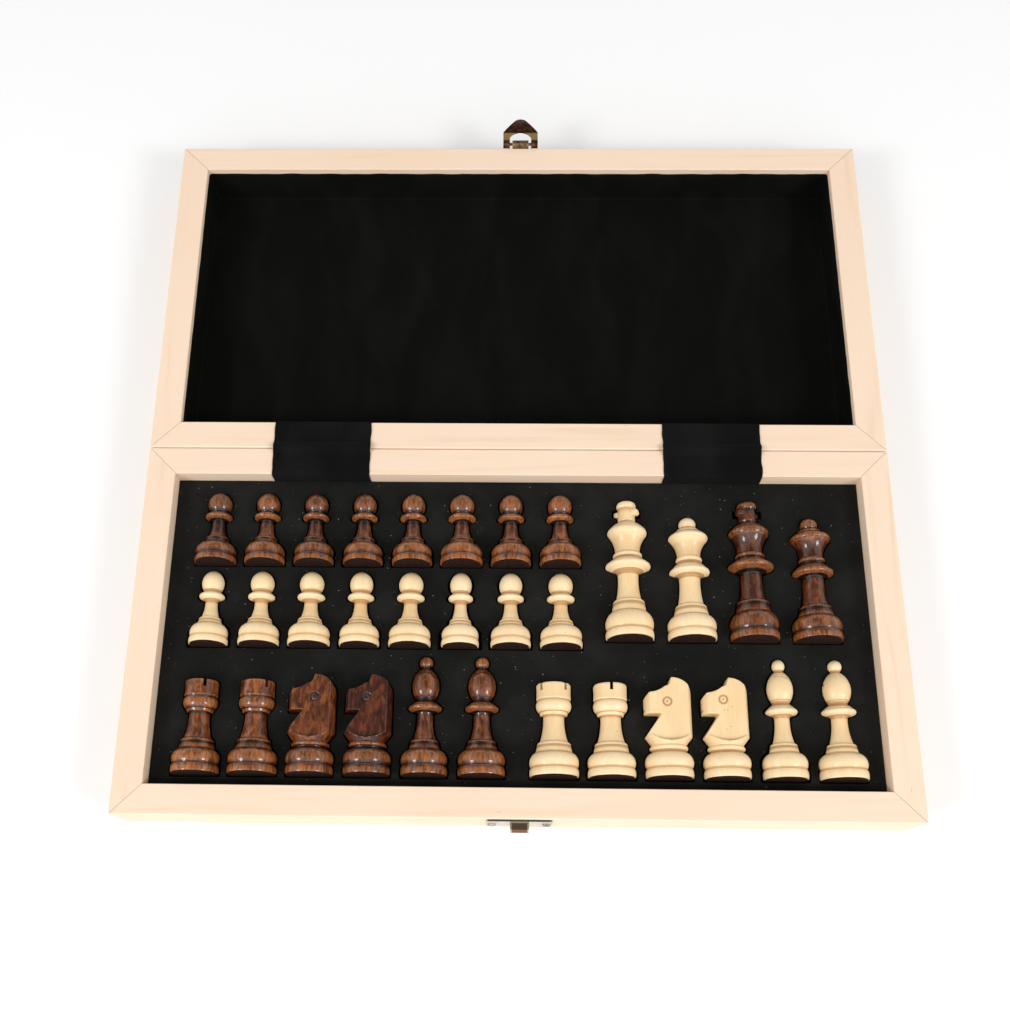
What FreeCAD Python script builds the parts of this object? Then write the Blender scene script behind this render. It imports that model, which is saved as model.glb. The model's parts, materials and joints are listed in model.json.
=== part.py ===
import FreeCAD, Part
import math
import os
from FreeCAD import Vector

# A folding chess set, open flat with its inside up. Millimetres, +X to the right along the
# seam, +Y towards the lid, +Z up. The origin is on the table, at the middle of the seam.

# ---- board box -----------------------------------------------------------------------
board_width = 390.0
half_depth = 195.0
half_height = 28.0
rail_width = 15.0
panel_thickness = 4.0
seam_gap = 0.4
corner_round = 1.5
edge_round = 0.8
inner_edge_round = 0.4

# ---- playing squares, let into the outer face of each panel ----------------------------
squares_across = 8
square_side = 43.0
veneer_thickness = 0.8

# ---- linings -------------------------------------------------------------------------
lining_thickness = 0.8
lining_below_rim = 3.5
foam_below_rim = 8.0
foam_wall_clearance = 0.3

# ---- hinges, hidden under the straps ---------------------------------------------------
hinge_offset = 103.0
hinge_axis_rise = 0.7
hinge_length = 34.0
hinge_reach = 11.0
leaf_thickness = 0.8
knuckle_radius = 1.6
hinge_pin_radius = 0.75
pin_clearance = 0.05
knuckle_gap = 0.3
knuckle_notch_clearance = 0.3
middle_knuckle_length = 12.0
hinge_screw_spacing = 11.0
hinge_screw_in = 6.5

# ---- straps --------------------------------------------------------------------------
strap_width = 51.5
strap_thickness = 0.5
strap_lift = 0.15
strap_hump_half = 3.2
strap_end_gap = 0.3

# ---- screws --------------------------------------------------------------------------
screw_head_radius = 1.7
screw_shank_radius = 0.85
screw_length = 9.0
pan_head_radius = 2.1
pan_head_height = 1.1

# ---- latch ---------------------------------------------------------------------------
latch_x = 2.0
latch_plate_width = 33.0
latch_plate_height = 20.0
latch_plate_thickness = 0.9
latch_plate_corner = 2.0
latch_plate_below_rim = 1.6
latch_screw_spacing = 26.6
latch_screw_below_rim = 12.0
latch_barrel_radius = 2.1
latch_barrel_rise = 0.6
latch_tongue_width = 9.3
latch_pin_radius = 0.75
hasp_width = 20.0
hasp_thickness = 1.0
hasp_window_width = 12.4
hasp_window_leg = 3.8
hasp_window_reach = 7.0
hasp_bend_start = 8.0
hasp_bend_radius = 14.7
hasp_bend_angle = 35.0
hasp_shoulder = 6.9
hasp_flank = 11.4
hasp_flank_half = 6.2
hasp_neck = 15.6
hasp_neck_half = 2.8
hasp_tip = 16.8
hasp_rest_angle = 10.0
catch_plate_width = 32.0
catch_plate_below_rim = 2.2
catch_plate_height = 20.0
hook_below_rim = 3.4
hook_width = 9.3
hook_reach = 6.0
hook_lip = 1.5

# ---- chessmen, lying in the foam with their heads towards the seam -----------------------
felt_thickness = 0.8
felt_inset = 0.5
man_clearance = 0.6
man_floor_clearance = 0.3
man_rise = 0.0
cross_reach = 6.9
cross_arm_height = 3.4
cross_arm_low = 68.6
cross_arm_depth = 4.4
cross_arm_round = 1.3
rook_slot_width = 1.8
rook_slot_floor = 43.2
mitre_slot_width = 1.3
mitre_slot_height = 46.0
mitre_slot_offset = -1.5
mitre_slot_tilt = 48.0
mitre_slot_length = 14.0
knight_half_thickness = 7.0
knight_flat_start = 18.3
knight_flat_radius = 14.5
knight_neck_top = 16.8
foot_rim_round = 0.2
foot_groove_slope = 0.6
foot_groove_width = 0.4
cutter_overrun = 1.0

pawn_count = 8
pawn_start_x = -156.6
pawn_pitch = 25.68
royal_start_x = 58.0
royal_pitch = 31.6
brown_piece_start_x = -157.4
white_piece_start_x = 19.0
piece_pitch = 28.15

brown_pawn_foot_y = -64.0
white_pawn_foot_y = -108.3
royal_foot_y = -103.9
piece_foot_y = -174.4

# How far each man has been turned about its own axis, in the order in which they lie.
royal_turns = (-32.0, 0.0, 32.0, 0.0)
brown_piece_turns = (24.0, 42.0, 0.0, 0.0, -100.0, -80.0)
white_piece_turns = (42.0, 0.0, 0.0, 0.0, -120.0, 90.0)

# ---- worked out from the values above ---------------------------------------------------
half_width = board_width / 2
inner_half_width = half_width - rail_width
near_seam = seam_gap / 2
wall_at_seam = near_seam + rail_width
wall_at_latch = half_depth - rail_width
foam_top = half_height - foam_below_rim
hinge_axis_z = half_height + hinge_axis_rise
latch_axis_y = half_depth + latch_barrel_radius
latch_axis_z = half_height + latch_barrel_rise
grid_half_width = squares_across * square_side / 2
rows_per_half = squares_across // 2
man_axis_z = foam_top + man_rise
mid_knuckle_half = middle_knuckle_length / 2
same_place = 0.01
X_AXIS = Vector(1, 0, 0)
Y_AXIS = Vector(0, 1, 0)
Z_AXIS = Vector(0, 0, 1)


def save(name, *solids):
    """Write one node: each argument stays a separate solid."""
    shape = solids[0] if len(solids) == 1 else Part.makeCompound(list(solids))
    shape.exportStep("parts/" + name + ".step")


def block(x0, x1, y0, y1, z0, z1):
    return Part.makeBox(x1 - x0, y1 - y0, z1 - z0, Vector(x0, y0, z0))


def fuse_all(shapes):
    body = shapes[0]
    for shape in shapes[1:]:
        body = body.fuse(shape)
    return body.removeSplitter()


def cut_all(body, tools):
    for tool in tools:
        body = body.cut(tool)
    return body


def polygon(points):
    return Part.makePolygon(points + [points[0]])


def prism(points, direction):
    return Part.Face(polygon(points)).extrude(direction)


def along_x(x0, x1, y, z, radius):
    return Part.makeCylinder(radius, x1 - x0, Vector(x0, y, z), X_AXIS)


def mirror_to(side, shape):
    """The lid is built as the base seen in the plane of the seam."""
    if side < 0:
        return shape
    return shape.mirror(Vector(0, 0, 0), Y_AXIS)


def matches(a, b):
    return abs(a - b) < same_place


# ---- frame and panels --------------------------------------------------------------------
def vertical_edges_at(shape, x, y0, y1):
    found = []
    for edge in shape.Edges:
        a, b = edge.Vertexes[0].Point, edge.Vertexes[-1].Point
        upright = matches(a.x, b.x) and matches(a.y, b.y)
        if upright and matches(abs(a.x), x) and (matches(a.y, y0) or matches(a.y, y1)):
            found.append(edge)
    return found


def edges_on_level(shape, z):
    return [e for e in shape.Edges if all(matches(v.Point.z, z) for v in e.Vertexes)]


def half_frame():
    """The four rails of the base as one ring, before it is sawn at its mitres."""
    y0, y1 = -half_depth, -near_seam
    outer = block(-half_width, half_width, y0, y1, panel_thickness, half_height)
    outer = outer.makeFillet(corner_round, vertical_edges_at(outer, half_width, y0, y1))
    outer = outer.makeFillet(edge_round, edges_on_level(outer, half_height))
    hollow = block(-inner_half_width, inner_half_width, -wall_at_latch, -wall_at_seam,
                   panel_thickness, half_height)
    ring = outer.cut(hollow)
    rim = [e for e in edges_on_level(ring, half_height) if on_hollow(e)]
    return ring.makeFillet(inner_edge_round, rim)


def on_hollow(edge):
    box = edge.BoundBox
    room = same_place
    across = box.XMin > -inner_half_width - room and box.XMax < inner_half_width + room
    return across and box.YMin > -wall_at_latch - room and box.YMax < -wall_at_seam + room


def mitre_wedges():
    """One prism for each rail: the part of the plan that its mitres leave to it."""
    w, d0, d1 = half_width, -half_depth, -near_seam
    iw, i0, i1 = inner_half_width, -wall_at_latch, -wall_at_seam
    plans = {
        "latch_rail": [(-w, d0), (w, d0), (iw, i0), (-iw, i0)],
        "hinge_rail": [(-w, d1), (-iw, i1), (iw, i1), (w, d1)],
        "left_rail": [(-w, d0), (-iw, i0), (-iw, i1), (-w, d1)],
        "right_rail": [(w, d0), (w, d1), (iw, i1), (iw, i0)],
    }
    rise = Vector(0, 0, half_height)
    return {name: prism([Vector(x, y, 0) for x, y in plan], rise) for name, plan in plans.items()}


def hinge_centres():
    return (-hinge_offset, hinge_offset)


def hinge_cuts():
    """What the hinges take out of the base's hinge rail: leaf rebates and the knuckle groove."""
    cuts = []
    for x in hinge_centres():
        x0, x1 = x - hinge_length / 2, x + hinge_length / 2
        cuts.append(block(x0, x1, -near_seam - hinge_reach, 0,
                          half_height - leaf_thickness, half_height + knuckle_radius))
        cuts.append(along_x(x0, x1, 0, hinge_axis_z, knuckle_radius + knuckle_notch_clearance))
        cuts += [screw_shank(sx, sy) for sx, sy in hinge_screw_places(x)]
    return cuts


def hinge_screw_places(x):
    y = -near_seam - hinge_screw_in
    return [(x + k * hinge_screw_spacing, y) for k in (-1, 0, 1)]


def screw_shank(x, y):
    top = half_height - leaf_thickness
    return Part.makeCylinder(screw_shank_radius, screw_length, Vector(x, y, top), -Z_AXIS)


def face_screw_shanks():
    """Screw holes of the latch parts, from the base's front face inwards."""
    z = half_height - latch_screw_below_rim
    return [Part.makeCylinder(screw_shank_radius, screw_length, Vector(x, -half_depth, z), Y_AXIS)
            for x in latch_screw_places()]


def latch_screw_places():
    return [latch_x - latch_screw_spacing / 2, latch_x + latch_screw_spacing / 2]


def panel():
    board = block(-half_width, half_width, -half_depth, -near_seam, 0, panel_thickness)
    board = board.makeFillet(corner_round,
                             vertical_edges_at(board, half_width, -half_depth, -near_seam))
    outer = [e for e in edges_on_level(board, 0) if e.BoundBox.YMin < -near_seam - same_place]
    board = board.makeFillet(edge_round, outer)
    depth = rows_per_half * square_side
    return board.cut(block(-grid_half_width, grid_half_width, -near_seam - depth, -near_seam,
                           0, veneer_thickness))


def squares(parity):
    """Every second playing square of the base."""
    out = []
    for row in range(rows_per_half):
        for column in range(squares_across):
            if (row + column) % 2 == parity:
                x = -grid_half_width + column * square_side
                y = -near_seam - (row + 1) * square_side
                out.append(block(x, x + square_side, y, y + square_side, 0, veneer_thickness))
    return out


def make_half(side, name):
    ring = half_frame()
    for rail, wedge in mitre_wedges().items():
        body = ring.common(wedge)
        if rail == "hinge_rail":
            body = cut_all(body, hinge_cuts())
        if rail == "latch_rail":
            body = cut_all(body, face_screw_shanks())
        save(name + "_" + rail, mirror_to(side, body))
    save(name + "_panel", mirror_to(side, panel()))
    light_first = 0 if side < 0 else 1
    save(name + "_light_squares", *[mirror_to(side, s) for s in squares(light_first)])
    save(name + "_dark_squares", *[mirror_to(side, s) for s in squares(1 - light_first)])


def make_lid_lining():
    top = half_height - lining_below_rim
    tray = block(-inner_half_width, inner_half_width, wall_at_seam, wall_at_latch,
                 panel_thickness, top)
    t = lining_thickness
    hollow = block(-inner_half_width + t, inner_half_width - t, wall_at_seam + t,
                   wall_at_latch - t, panel_thickness + t, top)
    save("lid_lining", tray.cut(hollow))


# ---- hinges, screws and straps -----------------------------------------------------------
def hinge_leaf(x, side):
    """A leaf and its knuckles. The base's leaf has the two outer knuckles, the lid's the middle."""
    x0, x1 = x - hinge_length / 2, x + hinge_length / 2
    if side < 0:
        own = [(x0, x - mid_knuckle_half - knuckle_gap), (x + mid_knuckle_half + knuckle_gap, x1)]
        other = [(x - mid_knuckle_half - knuckle_gap, x + mid_knuckle_half + knuckle_gap)]
        bore = hinge_pin_radius
    else:
        own = [(x - mid_knuckle_half, x + mid_knuckle_half)]
        other = [(x0, x - mid_knuckle_half), (x + mid_knuckle_half, x1)]
        bore = hinge_pin_radius + pin_clearance
    plate = block(x0, x1, -near_seam - hinge_reach, 0, half_height - leaf_thickness, half_height)
    plate = mirror_to(side, plate)
    room = knuckle_radius + knuckle_notch_clearance
    plate = cut_all(plate, [along_x(a, b, 0, hinge_axis_z, room) for a, b in other])
    leaf = fuse_all([plate] + [along_x(a, b, 0, hinge_axis_z, knuckle_radius) for a, b in own])
    leaf = leaf.cut(along_x(x0, x1, 0, hinge_axis_z, bore))
    heads = [mirror_to(side, screw_head(sx, sy)) for sx, sy in hinge_screw_places(x)]
    return cut_all(leaf, heads)


def screw_head(x, y):
    bottom = Vector(x, y, half_height - leaf_thickness)
    return Part.makeCone(screw_shank_radius, screw_head_radius, leaf_thickness, bottom)


def hinge_screws():
    return [screw_head(x, y).fuse(screw_shank(x, y)).removeSplitter()
            for centre in hinge_centres() for x, y in hinge_screw_places(centre)]


def face_screws():
    z = half_height - latch_screw_below_rim
    out = []
    for x, shank in zip(latch_screw_places(), face_screw_shanks()):
        face = Vector(x, -half_depth, z)
        length = latch_plate_thickness + pan_head_height
        neck = Part.makeCylinder(screw_shank_radius, length, face, -Y_AXIS)
        seat = Vector(x, -half_depth - latch_plate_thickness, z)
        head = Part.makeCylinder(pan_head_radius, pan_head_height, seat, -Y_AXIS)
        rim = [e for e in head.Edges if e.BoundBox.YMax < seat.y - pan_head_height + same_place]
        head = head.makeFillet(pan_head_height / 2, rim)
        out.append(fuse_all([shank, neck, head]))
    return out


def make_hinges():
    for side, name in ((-1, "base"), (1, "lid")):
        save(name + "_hinge_leaves", *[hinge_leaf(x, side) for x in hinge_centres()])
        screws = hinge_screws() + face_screws()
        save(name + "_screws", *[mirror_to(side, s) for s in screws])
    half = hinge_length / 2
    pins = [along_x(x - half, x + half, 0, hinge_axis_z, hinge_pin_radius) for x in hinge_centres()]
    save("hinge_pins", *pins)


def strap_side(offset):
    """One face of the strap's section in the YZ plane, offset outwards from the rails."""
    z = half_height + offset
    crown = hinge_axis_z + knuckle_radius + strap_lift + offset
    hump = strap_hump_half + offset / 2
    foot_base = foam_top + strap_end_gap
    foot_lid = half_height - lining_below_rim + strap_end_gap
    base_wall = -wall_at_seam - offset
    lid_wall = wall_at_seam + offset
    return [Vector(0, base_wall, foot_base), Vector(0, base_wall, z), Vector(0, -hump, z),
            Vector(0, 0, crown), Vector(0, hump, z), Vector(0, lid_wall, z),
            Vector(0, lid_wall, foot_lid)]


def strap_edges(points):
    a, b, c, top, d, e, f = points
    return [Part.LineSegment(a, b).toShape(), Part.LineSegment(b, c).toShape(),
            Part.Arc(c, top, d).toShape(), Part.LineSegment(d, e).toShape(),
            Part.LineSegment(e, f).toShape()]


def make_strap(name, x):
    inside = strap_side(0.0)
    outside = strap_side(strap_thickness)
    ends = [Part.LineSegment(inside[0], outside[0]).toShape(),
            Part.LineSegment(inside[-1], outside[-1]).toShape()]
    edges = strap_edges(inside) + strap_edges(outside) + ends
    section = Part.Face(Part.Wire(Part.__sortEdges__(edges)))
    strap = section.extrude(Vector(strap_width, 0, 0))
    strap.translate(Vector(x - strap_width / 2, 0, 0))
    save(name, strap)


# ---- latch -------------------------------------------------------------------------------
def face_plate(width, top_below_rim, height):
    """A rounded plate on the base's front face, with its two screw holes."""
    top = half_height - top_below_rim
    plate = block(latch_x - width / 2, latch_x + width / 2, -half_depth - latch_plate_thickness,
                  -half_depth, top - height, top)
    corners = [e for e in plate.Edges if abs(e.tangentAt(e.FirstParameter).y) > 0.99]
    plate = plate.makeFillet(latch_plate_corner, corners)
    z = half_height - latch_screw_below_rim
    holes = [Part.makeCylinder(screw_shank_radius, latch_plate_thickness,
                               Vector(x, -half_depth, z), -Y_AXIS) for x in latch_screw_places()]
    return cut_all(plate, holes)


def make_latch_plate():
    half = latch_tongue_width / 2
    x0, x1 = latch_x - half, latch_x + half
    plate = mirror_to(1, face_plate(latch_plate_width, latch_plate_below_rim, latch_plate_height))
    tongue = block(x0, x1, half_depth, half_depth + latch_plate_thickness,
                   half_height - latch_plate_below_rim - latch_plate_corner, latch_axis_z)
    barrel = along_x(x0, x1, latch_axis_y, latch_axis_z, latch_barrel_radius)
    bore = along_x(x0, x1, latch_axis_y, latch_axis_z, latch_pin_radius)
    save("latch_plate", fuse_all([plate, tongue, barrel]).cut(bore))


def hasp_side():
    """The hasp's section: flat, then bent outwards. Local X is its length, local Y its outside."""
    t = hasp_thickness
    centre_y = hasp_bend_radius
    angle = math.radians(hasp_bend_angle)

    def on_arc(radius, a):
        return Vector(hasp_bend_start + radius * math.sin(a), centre_y - radius * math.cos(a), 0)

    inner, outer = hasp_bend_radius + t, hasp_bend_radius
    edges = [
        Part.LineSegment(Vector(0, -t, 0), Vector(hasp_bend_start, -t, 0)).toShape(),
        Part.Arc(on_arc(inner, 0), on_arc(inner, angle / 2), on_arc(inner, angle)).toShape(),
        Part.LineSegment(on_arc(inner, angle), on_arc(outer, angle)).toShape(),
        Part.Arc(on_arc(outer, angle), on_arc(outer, angle / 2), on_arc(outer, 0)).toShape(),
        Part.LineSegment(Vector(hasp_bend_start, 0, 0), Vector(0, 0, 0)).toShape(),
        Part.LineSegment(Vector(0, 0, 0), Vector(0, -t, 0)).toShape(),
    ]
    return Part.Face(Part.Wire(Part.__sortEdges__(edges)))


def hasp_plan():
    """The hasp's bell outline: two hollow flanks and a round tip. Local X is its length."""
    h = hasp_width / 2

    def at(x, z):
        return Vector(x, 0, z)

    edges = [
        Part.LineSegment(at(0, h), at(hasp_shoulder, h)).toShape(),
        Part.Arc(at(hasp_shoulder, h), at(hasp_flank, hasp_flank_half),
                 at(hasp_neck, hasp_neck_half)).toShape(),
        Part.Arc(at(hasp_neck, hasp_neck_half), at(hasp_tip, 0),
                 at(hasp_neck, -hasp_neck_half)).toShape(),
        Part.Arc(at(hasp_neck, -hasp_neck_half), at(hasp_flank, -hasp_flank_half),
                 at(hasp_shoulder, -h)).toShape(),
        Part.LineSegment(at(hasp_shoulder, -h), at(0, -h)).toShape(),
        Part.LineSegment(at(0, -h), at(0, h)).toShape(),
    ]
    return Part.Face(Part.Wire(edges))


def hasp_window(depth):
    h = hasp_window_width / 2
    a, b = Vector(-latch_barrel_radius, -depth, h), Vector(hasp_window_leg, -depth, h)
    c, d = Vector(hasp_window_leg, -depth, -h), Vector(-latch_barrel_radius, -depth, -h)
    top = Vector(hasp_window_reach, -depth, 0)
    edges = [Part.LineSegment(a, b).toShape(), Part.Arc(b, top, c).toShape(),
             Part.LineSegment(c, d).toShape(), Part.LineSegment(d, a).toShape()]
    face = Part.Face(Part.Wire(edges))
    return face.extrude(Vector(0, 2 * depth, 0))


def make_hasp():
    """Built lying along local X, then set on the pin at the angle it was left at."""
    deep = 2 * hasp_width
    side = hasp_side().extrude(Vector(0, 0, hasp_width))
    side.translate(Vector(0, 0, -hasp_width / 2))
    plan = hasp_plan().extrude(Vector(0, deep, 0))
    plan.translate(Vector(0, -deep / 2, 0))
    leaf = side.common(plan)
    knuckles, bores = [], []
    inner, outer = hasp_window_width / 2, hasp_width / 2
    for z0 in (inner, -outer):
        at = Vector(0, 0, z0)
        knuckles.append(Part.makeCylinder(latch_barrel_radius, outer - inner, at, Z_AXIS))
        bores.append(Part.makeCylinder(latch_pin_radius + pin_clearance, outer - inner, at, Z_AXIS))
    hasp = fuse_all([leaf] + knuckles)
    hasp = cut_all(hasp, [hasp_window(deep)] + bores)
    angle = math.radians(hasp_rest_angle)
    along = Vector(0, math.cos(angle), math.sin(angle))
    outside = Vector(0, math.sin(angle), -math.cos(angle))
    across = along.cross(outside)
    turn = FreeCAD.Matrix(along.x, outside.x, across.x, latch_x,
                          along.y, outside.y, across.y, latch_axis_y,
                          along.z, outside.z, across.z, latch_axis_z)
    hasp.Placement = FreeCAD.Placement(turn)
    save("latch_hasp", hasp)


def make_latch_pin():
    half = hasp_width / 2
    save("latch_pin", along_x(latch_x - half, latch_x + half, latch_axis_y, latch_axis_z,
                              latch_pin_radius))


def make_catch_plate():
    """The plate on the base with the hook that the hasp's window drops over."""
    plate = face_plate(catch_plate_width, catch_plate_below_rim, catch_plate_height)
    t = latch_plate_thickness
    top = half_height - hook_below_rim
    out = -half_depth - t
    tip = -half_depth - hook_reach
    low = top - hook_lip
    bend = hook_lip
    edges = [
        Part.LineSegment(Vector(0, out, top), Vector(0, tip + bend, top)).toShape(),
        Part.Arc(Vector(0, tip + bend, top),
                 Vector(0, tip + bend * (1 - math.sqrt(0.5)), top - bend * (1 - math.sqrt(0.5))),
                 Vector(0, tip, low)).toShape(),
        Part.LineSegment(Vector(0, tip, low), Vector(0, tip + t, low)).toShape(),
        Part.LineSegment(Vector(0, tip + t, low), Vector(0, tip + bend, top - t)).toShape(),
        Part.LineSegment(Vector(0, tip + bend, top - t), Vector(0, out, top - t)).toShape(),
        Part.LineSegment(Vector(0, out, top - t), Vector(0, out, top)).toShape(),
    ]
    hook = Part.Face(Part.Wire(Part.__sortEdges__(edges))).extrude(Vector(hook_width, 0, 0))
    hook.translate(Vector(latch_x - hook_width / 2, 0, 0))
    save("catch_plate", fuse_all([plate, hook]))


# ---- turned profiles -------------------------------------------------------------------
# Each profile starts at the edge of the felt and runs up to the axis. A move is (radius,
# height) for a straight line, or (radius, height, radius, height) for an arc through the
# first point to the second. Heights are from the table to a standing man's point.

def foot(band, band_top, groove, bulge, bulge_height, shoulder, shoulder_height):
    """The base that every man has: a band, a groove and a bulge."""
    rim = band - foot_rim_round
    groove_low = band_top + foot_groove_slope
    return [
        (rim, felt_thickness),
        (band, (felt_thickness + band_top) / 2, rim, band_top),
        (groove, groove_low),
        (groove, groove_low + foot_groove_width),
        (bulge, bulge_height, shoulder, shoulder_height),
    ]


king_profile = foot(12.3, 4.5, 11.6, 12.15, 10.0, 9.2, 14.9) + [
    (8.7, 15.4), (8.15, 19.8), (7.9, 20.8, 6.8, 21.5),
    (6.5, 21.9), (5.5, 27.6, 5.35, 35.4), (5.6, 36.6),
    (10.4, 38.6), (11.6, 39.9, 10.8, 41.4), (7.4, 44.3),
    (6.7, 44.6), (6.7, 45.0), (7.5, 46.1, 6.7, 47.3),
    (6.3, 47.6), (6.3, 48.2), (7.3, 53.2, 9.7, 57.4), (10.2, 58.9, 9.2, 60.8),
    (7.2, 62.9, 4.7, 64.5), (4.2, 64.8), (4.2, 65.4), (4.5, 66.0), (4.35, 72.4),
    (5.1, 74.2, 4.5, 75.8), (3.1, 76.5, 1.2, 76.7), (0, 76.7),
]
queen_profile = foot(12.3, 4.2, 11.75, 12.2, 9.0, 9.4, 13.0) + [
    (8.9, 13.5), (8.1, 17.4), (7.8, 18.4, 6.8, 19.1),
    (6.5, 19.6), (5.55, 25.6, 5.35, 33.6), (5.6, 34.9),
    (9.6, 36.0), (10.3, 37.1, 9.5, 38.4), (6.6, 41.8),
    (6.0, 42.2), (6.0, 42.8), (6.7, 44.0, 6.0, 45.2),
    (5.9, 45.9), (6.9, 50.6, 9.5, 54.6), (10.15, 56.0, 9.2, 57.5),
    (7.4, 59.0), (6.6, 59.2), (5.9, 60.4, 4.3, 61.4), (3.7, 61.8),
    (4.4, 64.2, 2.6, 67.2), (1.8, 67.7, 0.9, 67.9), (0, 67.9),
]
bishop_profile = foot(11.65, 4.6, 11.0, 11.55, 9.4, 8.5, 13.3) + [
    (7.75, 13.9), (7.1, 16.9), (6.8, 17.8, 5.85, 18.3),
    (5.6, 18.8), (4.25, 24.6, 3.95, 31.0), (4.25, 32.1),
    (7.65, 33.3), (8.4, 34.4, 7.65, 35.5), (5.1, 37.9),
    (4.55, 38.3), (4.65, 39.3), (5.1, 39.8), (6.85, 46.6, 2.5, 54.8),
    (2.2, 55.4), (3.4, 58.1, 1.85, 60.9), (1.3, 61.25, 0.7, 61.4), (0, 61.4),
]
rook_profile = foot(12.15, 4.2, 11.5, 12.1, 8.6, 9.6, 12.4) + [
    (9.0, 13.0), (8.4, 16.2), (8.1, 17.2, 7.1, 17.9),
    (6.9, 18.3), (5.5, 24.6, 5.25, 31.2),
    (6.7, 31.4), (7.0, 32.6), (8.8, 36.4, 8.3, 38.4), (8.1, 38.8),
    (8.6, 39.6), (8.5, 43.4, 8.6, 46.4), (8.2, 47.2), (5.6, 47.2), (5.2, 44.4), (0, 44.0),
]
pawn_profile = foot(10.8, 3.7, 10.2, 10.45, 7.6, 7.6, 11.2) + [
    (6.7, 11.8), (6.2, 13.6), (5.9, 14.5, 5.1, 15.0),
    (4.9, 15.3), (3.7, 19.4, 3.45, 24.2),
    (6.4, 25.4), (7.1, 26.4, 6.6, 27.5), (5.4, 28.4), (4.5, 29.2),
    (6.25, 34.2, 3.4, 39.4), (2.4, 40.05, 1.1, 40.3), (0, 40.3),
]
knight_foot = foot(11.7, 4.4, 11.1, 11.8, 9.2, 9.0, 13.0) + [
    (8.2, 13.5), (8.3, 14.1), (9.4, 15.2, 8.6, 16.4), (8.5, knight_neck_top),
]
knight_profile = knight_foot + [(11.7, 20.9), (11.7, 47.0), (8.5, 50.5), (1.0, 51.0), (0, 51.0)]
# The knight's side view: ear, back, chest, throat, lip, nose, forehead. Local X, height.
knight_outline = [
    (1.4, 50.4), (9.4, 46.9, 11.7, 38.0), (12.5, 16.0), (-12.5, 16.0), (-11.8, 20.4),
    (-3.6, 32.2), (-11.9, 32.2), (-12.2, 36.6, -11.2, 41.0), (-9.6, 42.8),
    (-5.0, 43.9, -1.8, 45.9), (0.2, 46.6),
]


def profile_edges(start, moves):
    """Edges in the XZ plane, and the last point."""
    edges, at = [], Vector(start[0], 0, start[1])
    for move in moves:
        end = Vector(move[-2], 0, move[-1])
        if len(move) == 2:
            edges.append(Part.LineSegment(at, end).toShape())
        else:
            edges.append(Part.Arc(at, Vector(move[0], 0, move[1]), end).toShape())
        at = end
    return edges, at


def turned(profile):
    edges, top = profile_edges(profile[0], profile[1:])
    centre = Vector(0, 0, felt_thickness)
    rim = Vector(profile[0][0], 0, profile[0][1])
    edges.append(Part.LineSegment(top, centre).toShape())
    edges.append(Part.LineSegment(centre, rim).toShape())
    return Part.Face(Part.Wire(edges)).revolve(Vector(0, 0, 0), Z_AXIS, 360)


def king_wood():
    """A turned king with the two arms of its cross."""
    top = cross_arm_low + cross_arm_height
    arms = block(-cross_reach, cross_reach, -cross_arm_depth / 2, cross_arm_depth / 2,
                 cross_arm_low, top)
    ends = [e for e in arms.Edges if abs(e.tangentAt(e.FirstParameter).y) > 0.99]
    arms = arms.makeFillet(cross_arm_round, ends)
    return turned(king_profile).fuse(arms).removeSplitter()


def bishop_wood():
    """A turned bishop with a slanting saw cut from one side of its mitre to just past its axis."""
    half, reach = mitre_slot_width / 2, widest(bishop_profile)
    cut = block(-half, half, -reach, reach, 0, mitre_slot_length)
    cut.rotate(Vector(0, 0, 0), Y_AXIS, mitre_slot_tilt)
    cut.translate(Vector(mitre_slot_offset, 0, mitre_slot_height))
    return turned(bishop_profile).cut(cut)


def rook_wood():
    """A turned rook with two crossed saw cuts in its turret."""
    body = turned(rook_profile)
    reach, half = widest(rook_profile), rook_slot_width / 2
    top = profile_height(rook_profile)
    for x, y in ((reach, half), (half, reach)):
        body = body.cut(block(-x, x, -y, y, rook_slot_floor, top))
    return body


def knight_blank_flat(side):
    """What the cutter takes off one side of the head, above a smiling edge."""
    low, r = knight_flat_start, knight_flat_radius
    half = widest(knight_profile) + cutter_overrun
    sag = r - math.sqrt(r * r - half * half)
    y = side * knight_half_thickness
    top = profile_height(knight_profile)
    a, b = Vector(-half, y, low + sag), Vector(half, y, low + sag)
    c, d = Vector(half, y, top), Vector(-half, y, top)
    edges = [Part.Arc(a, Vector(0, y, low), b).toShape(), Part.LineSegment(b, c).toShape(),
             Part.LineSegment(c, d).toShape(), Part.LineSegment(d, a).toShape()]
    return Part.Face(Part.Wire(edges)).extrude(Vector(0, side * half, 0))


def knight_side():
    """The horse's outline as a face in the XZ plane."""
    edges, at = profile_edges(knight_outline[0], knight_outline[1:])
    start = Vector(knight_outline[0][0], 0, knight_outline[0][1])
    edges.append(Part.LineSegment(at, start).toShape())
    return Part.Face(Part.Wire(edges))


def knight_wood():
    """A turned blank, cut to the horse's outline and flattened on both sides."""
    blank = turned(knight_profile)
    reach = widest(knight_profile) + cutter_overrun
    base = blank.common(block(-reach, reach, -reach, reach, 0, knight_neck_top))
    side = knight_side()
    side.translate(Vector(0, -reach, 0))
    head = blank.common(side.extrude(Vector(0, 2 * reach, 0)))
    head = cut_all(head, [knight_blank_flat(-1), knight_blank_flat(1)])
    return base.fuse(head).removeSplitter()


def felt_disc(profile):
    return Part.makeCylinder(profile[0][0] - felt_inset, felt_thickness)


def lay_down(shape, x, foot_y, spin):
    """Turn a standing man about its axis, then lay it with its head away from its foot."""
    shape.rotate(Vector(0, 0, 0), Z_AXIS, spin)
    shape.rotate(Vector(0, 0, 0), X_AXIS, -90)
    shape.translate(Vector(x, foot_y, man_axis_z))
    return shape


def widest(profile):
    return max(r for move in profile for r in move[0::2])


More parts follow.
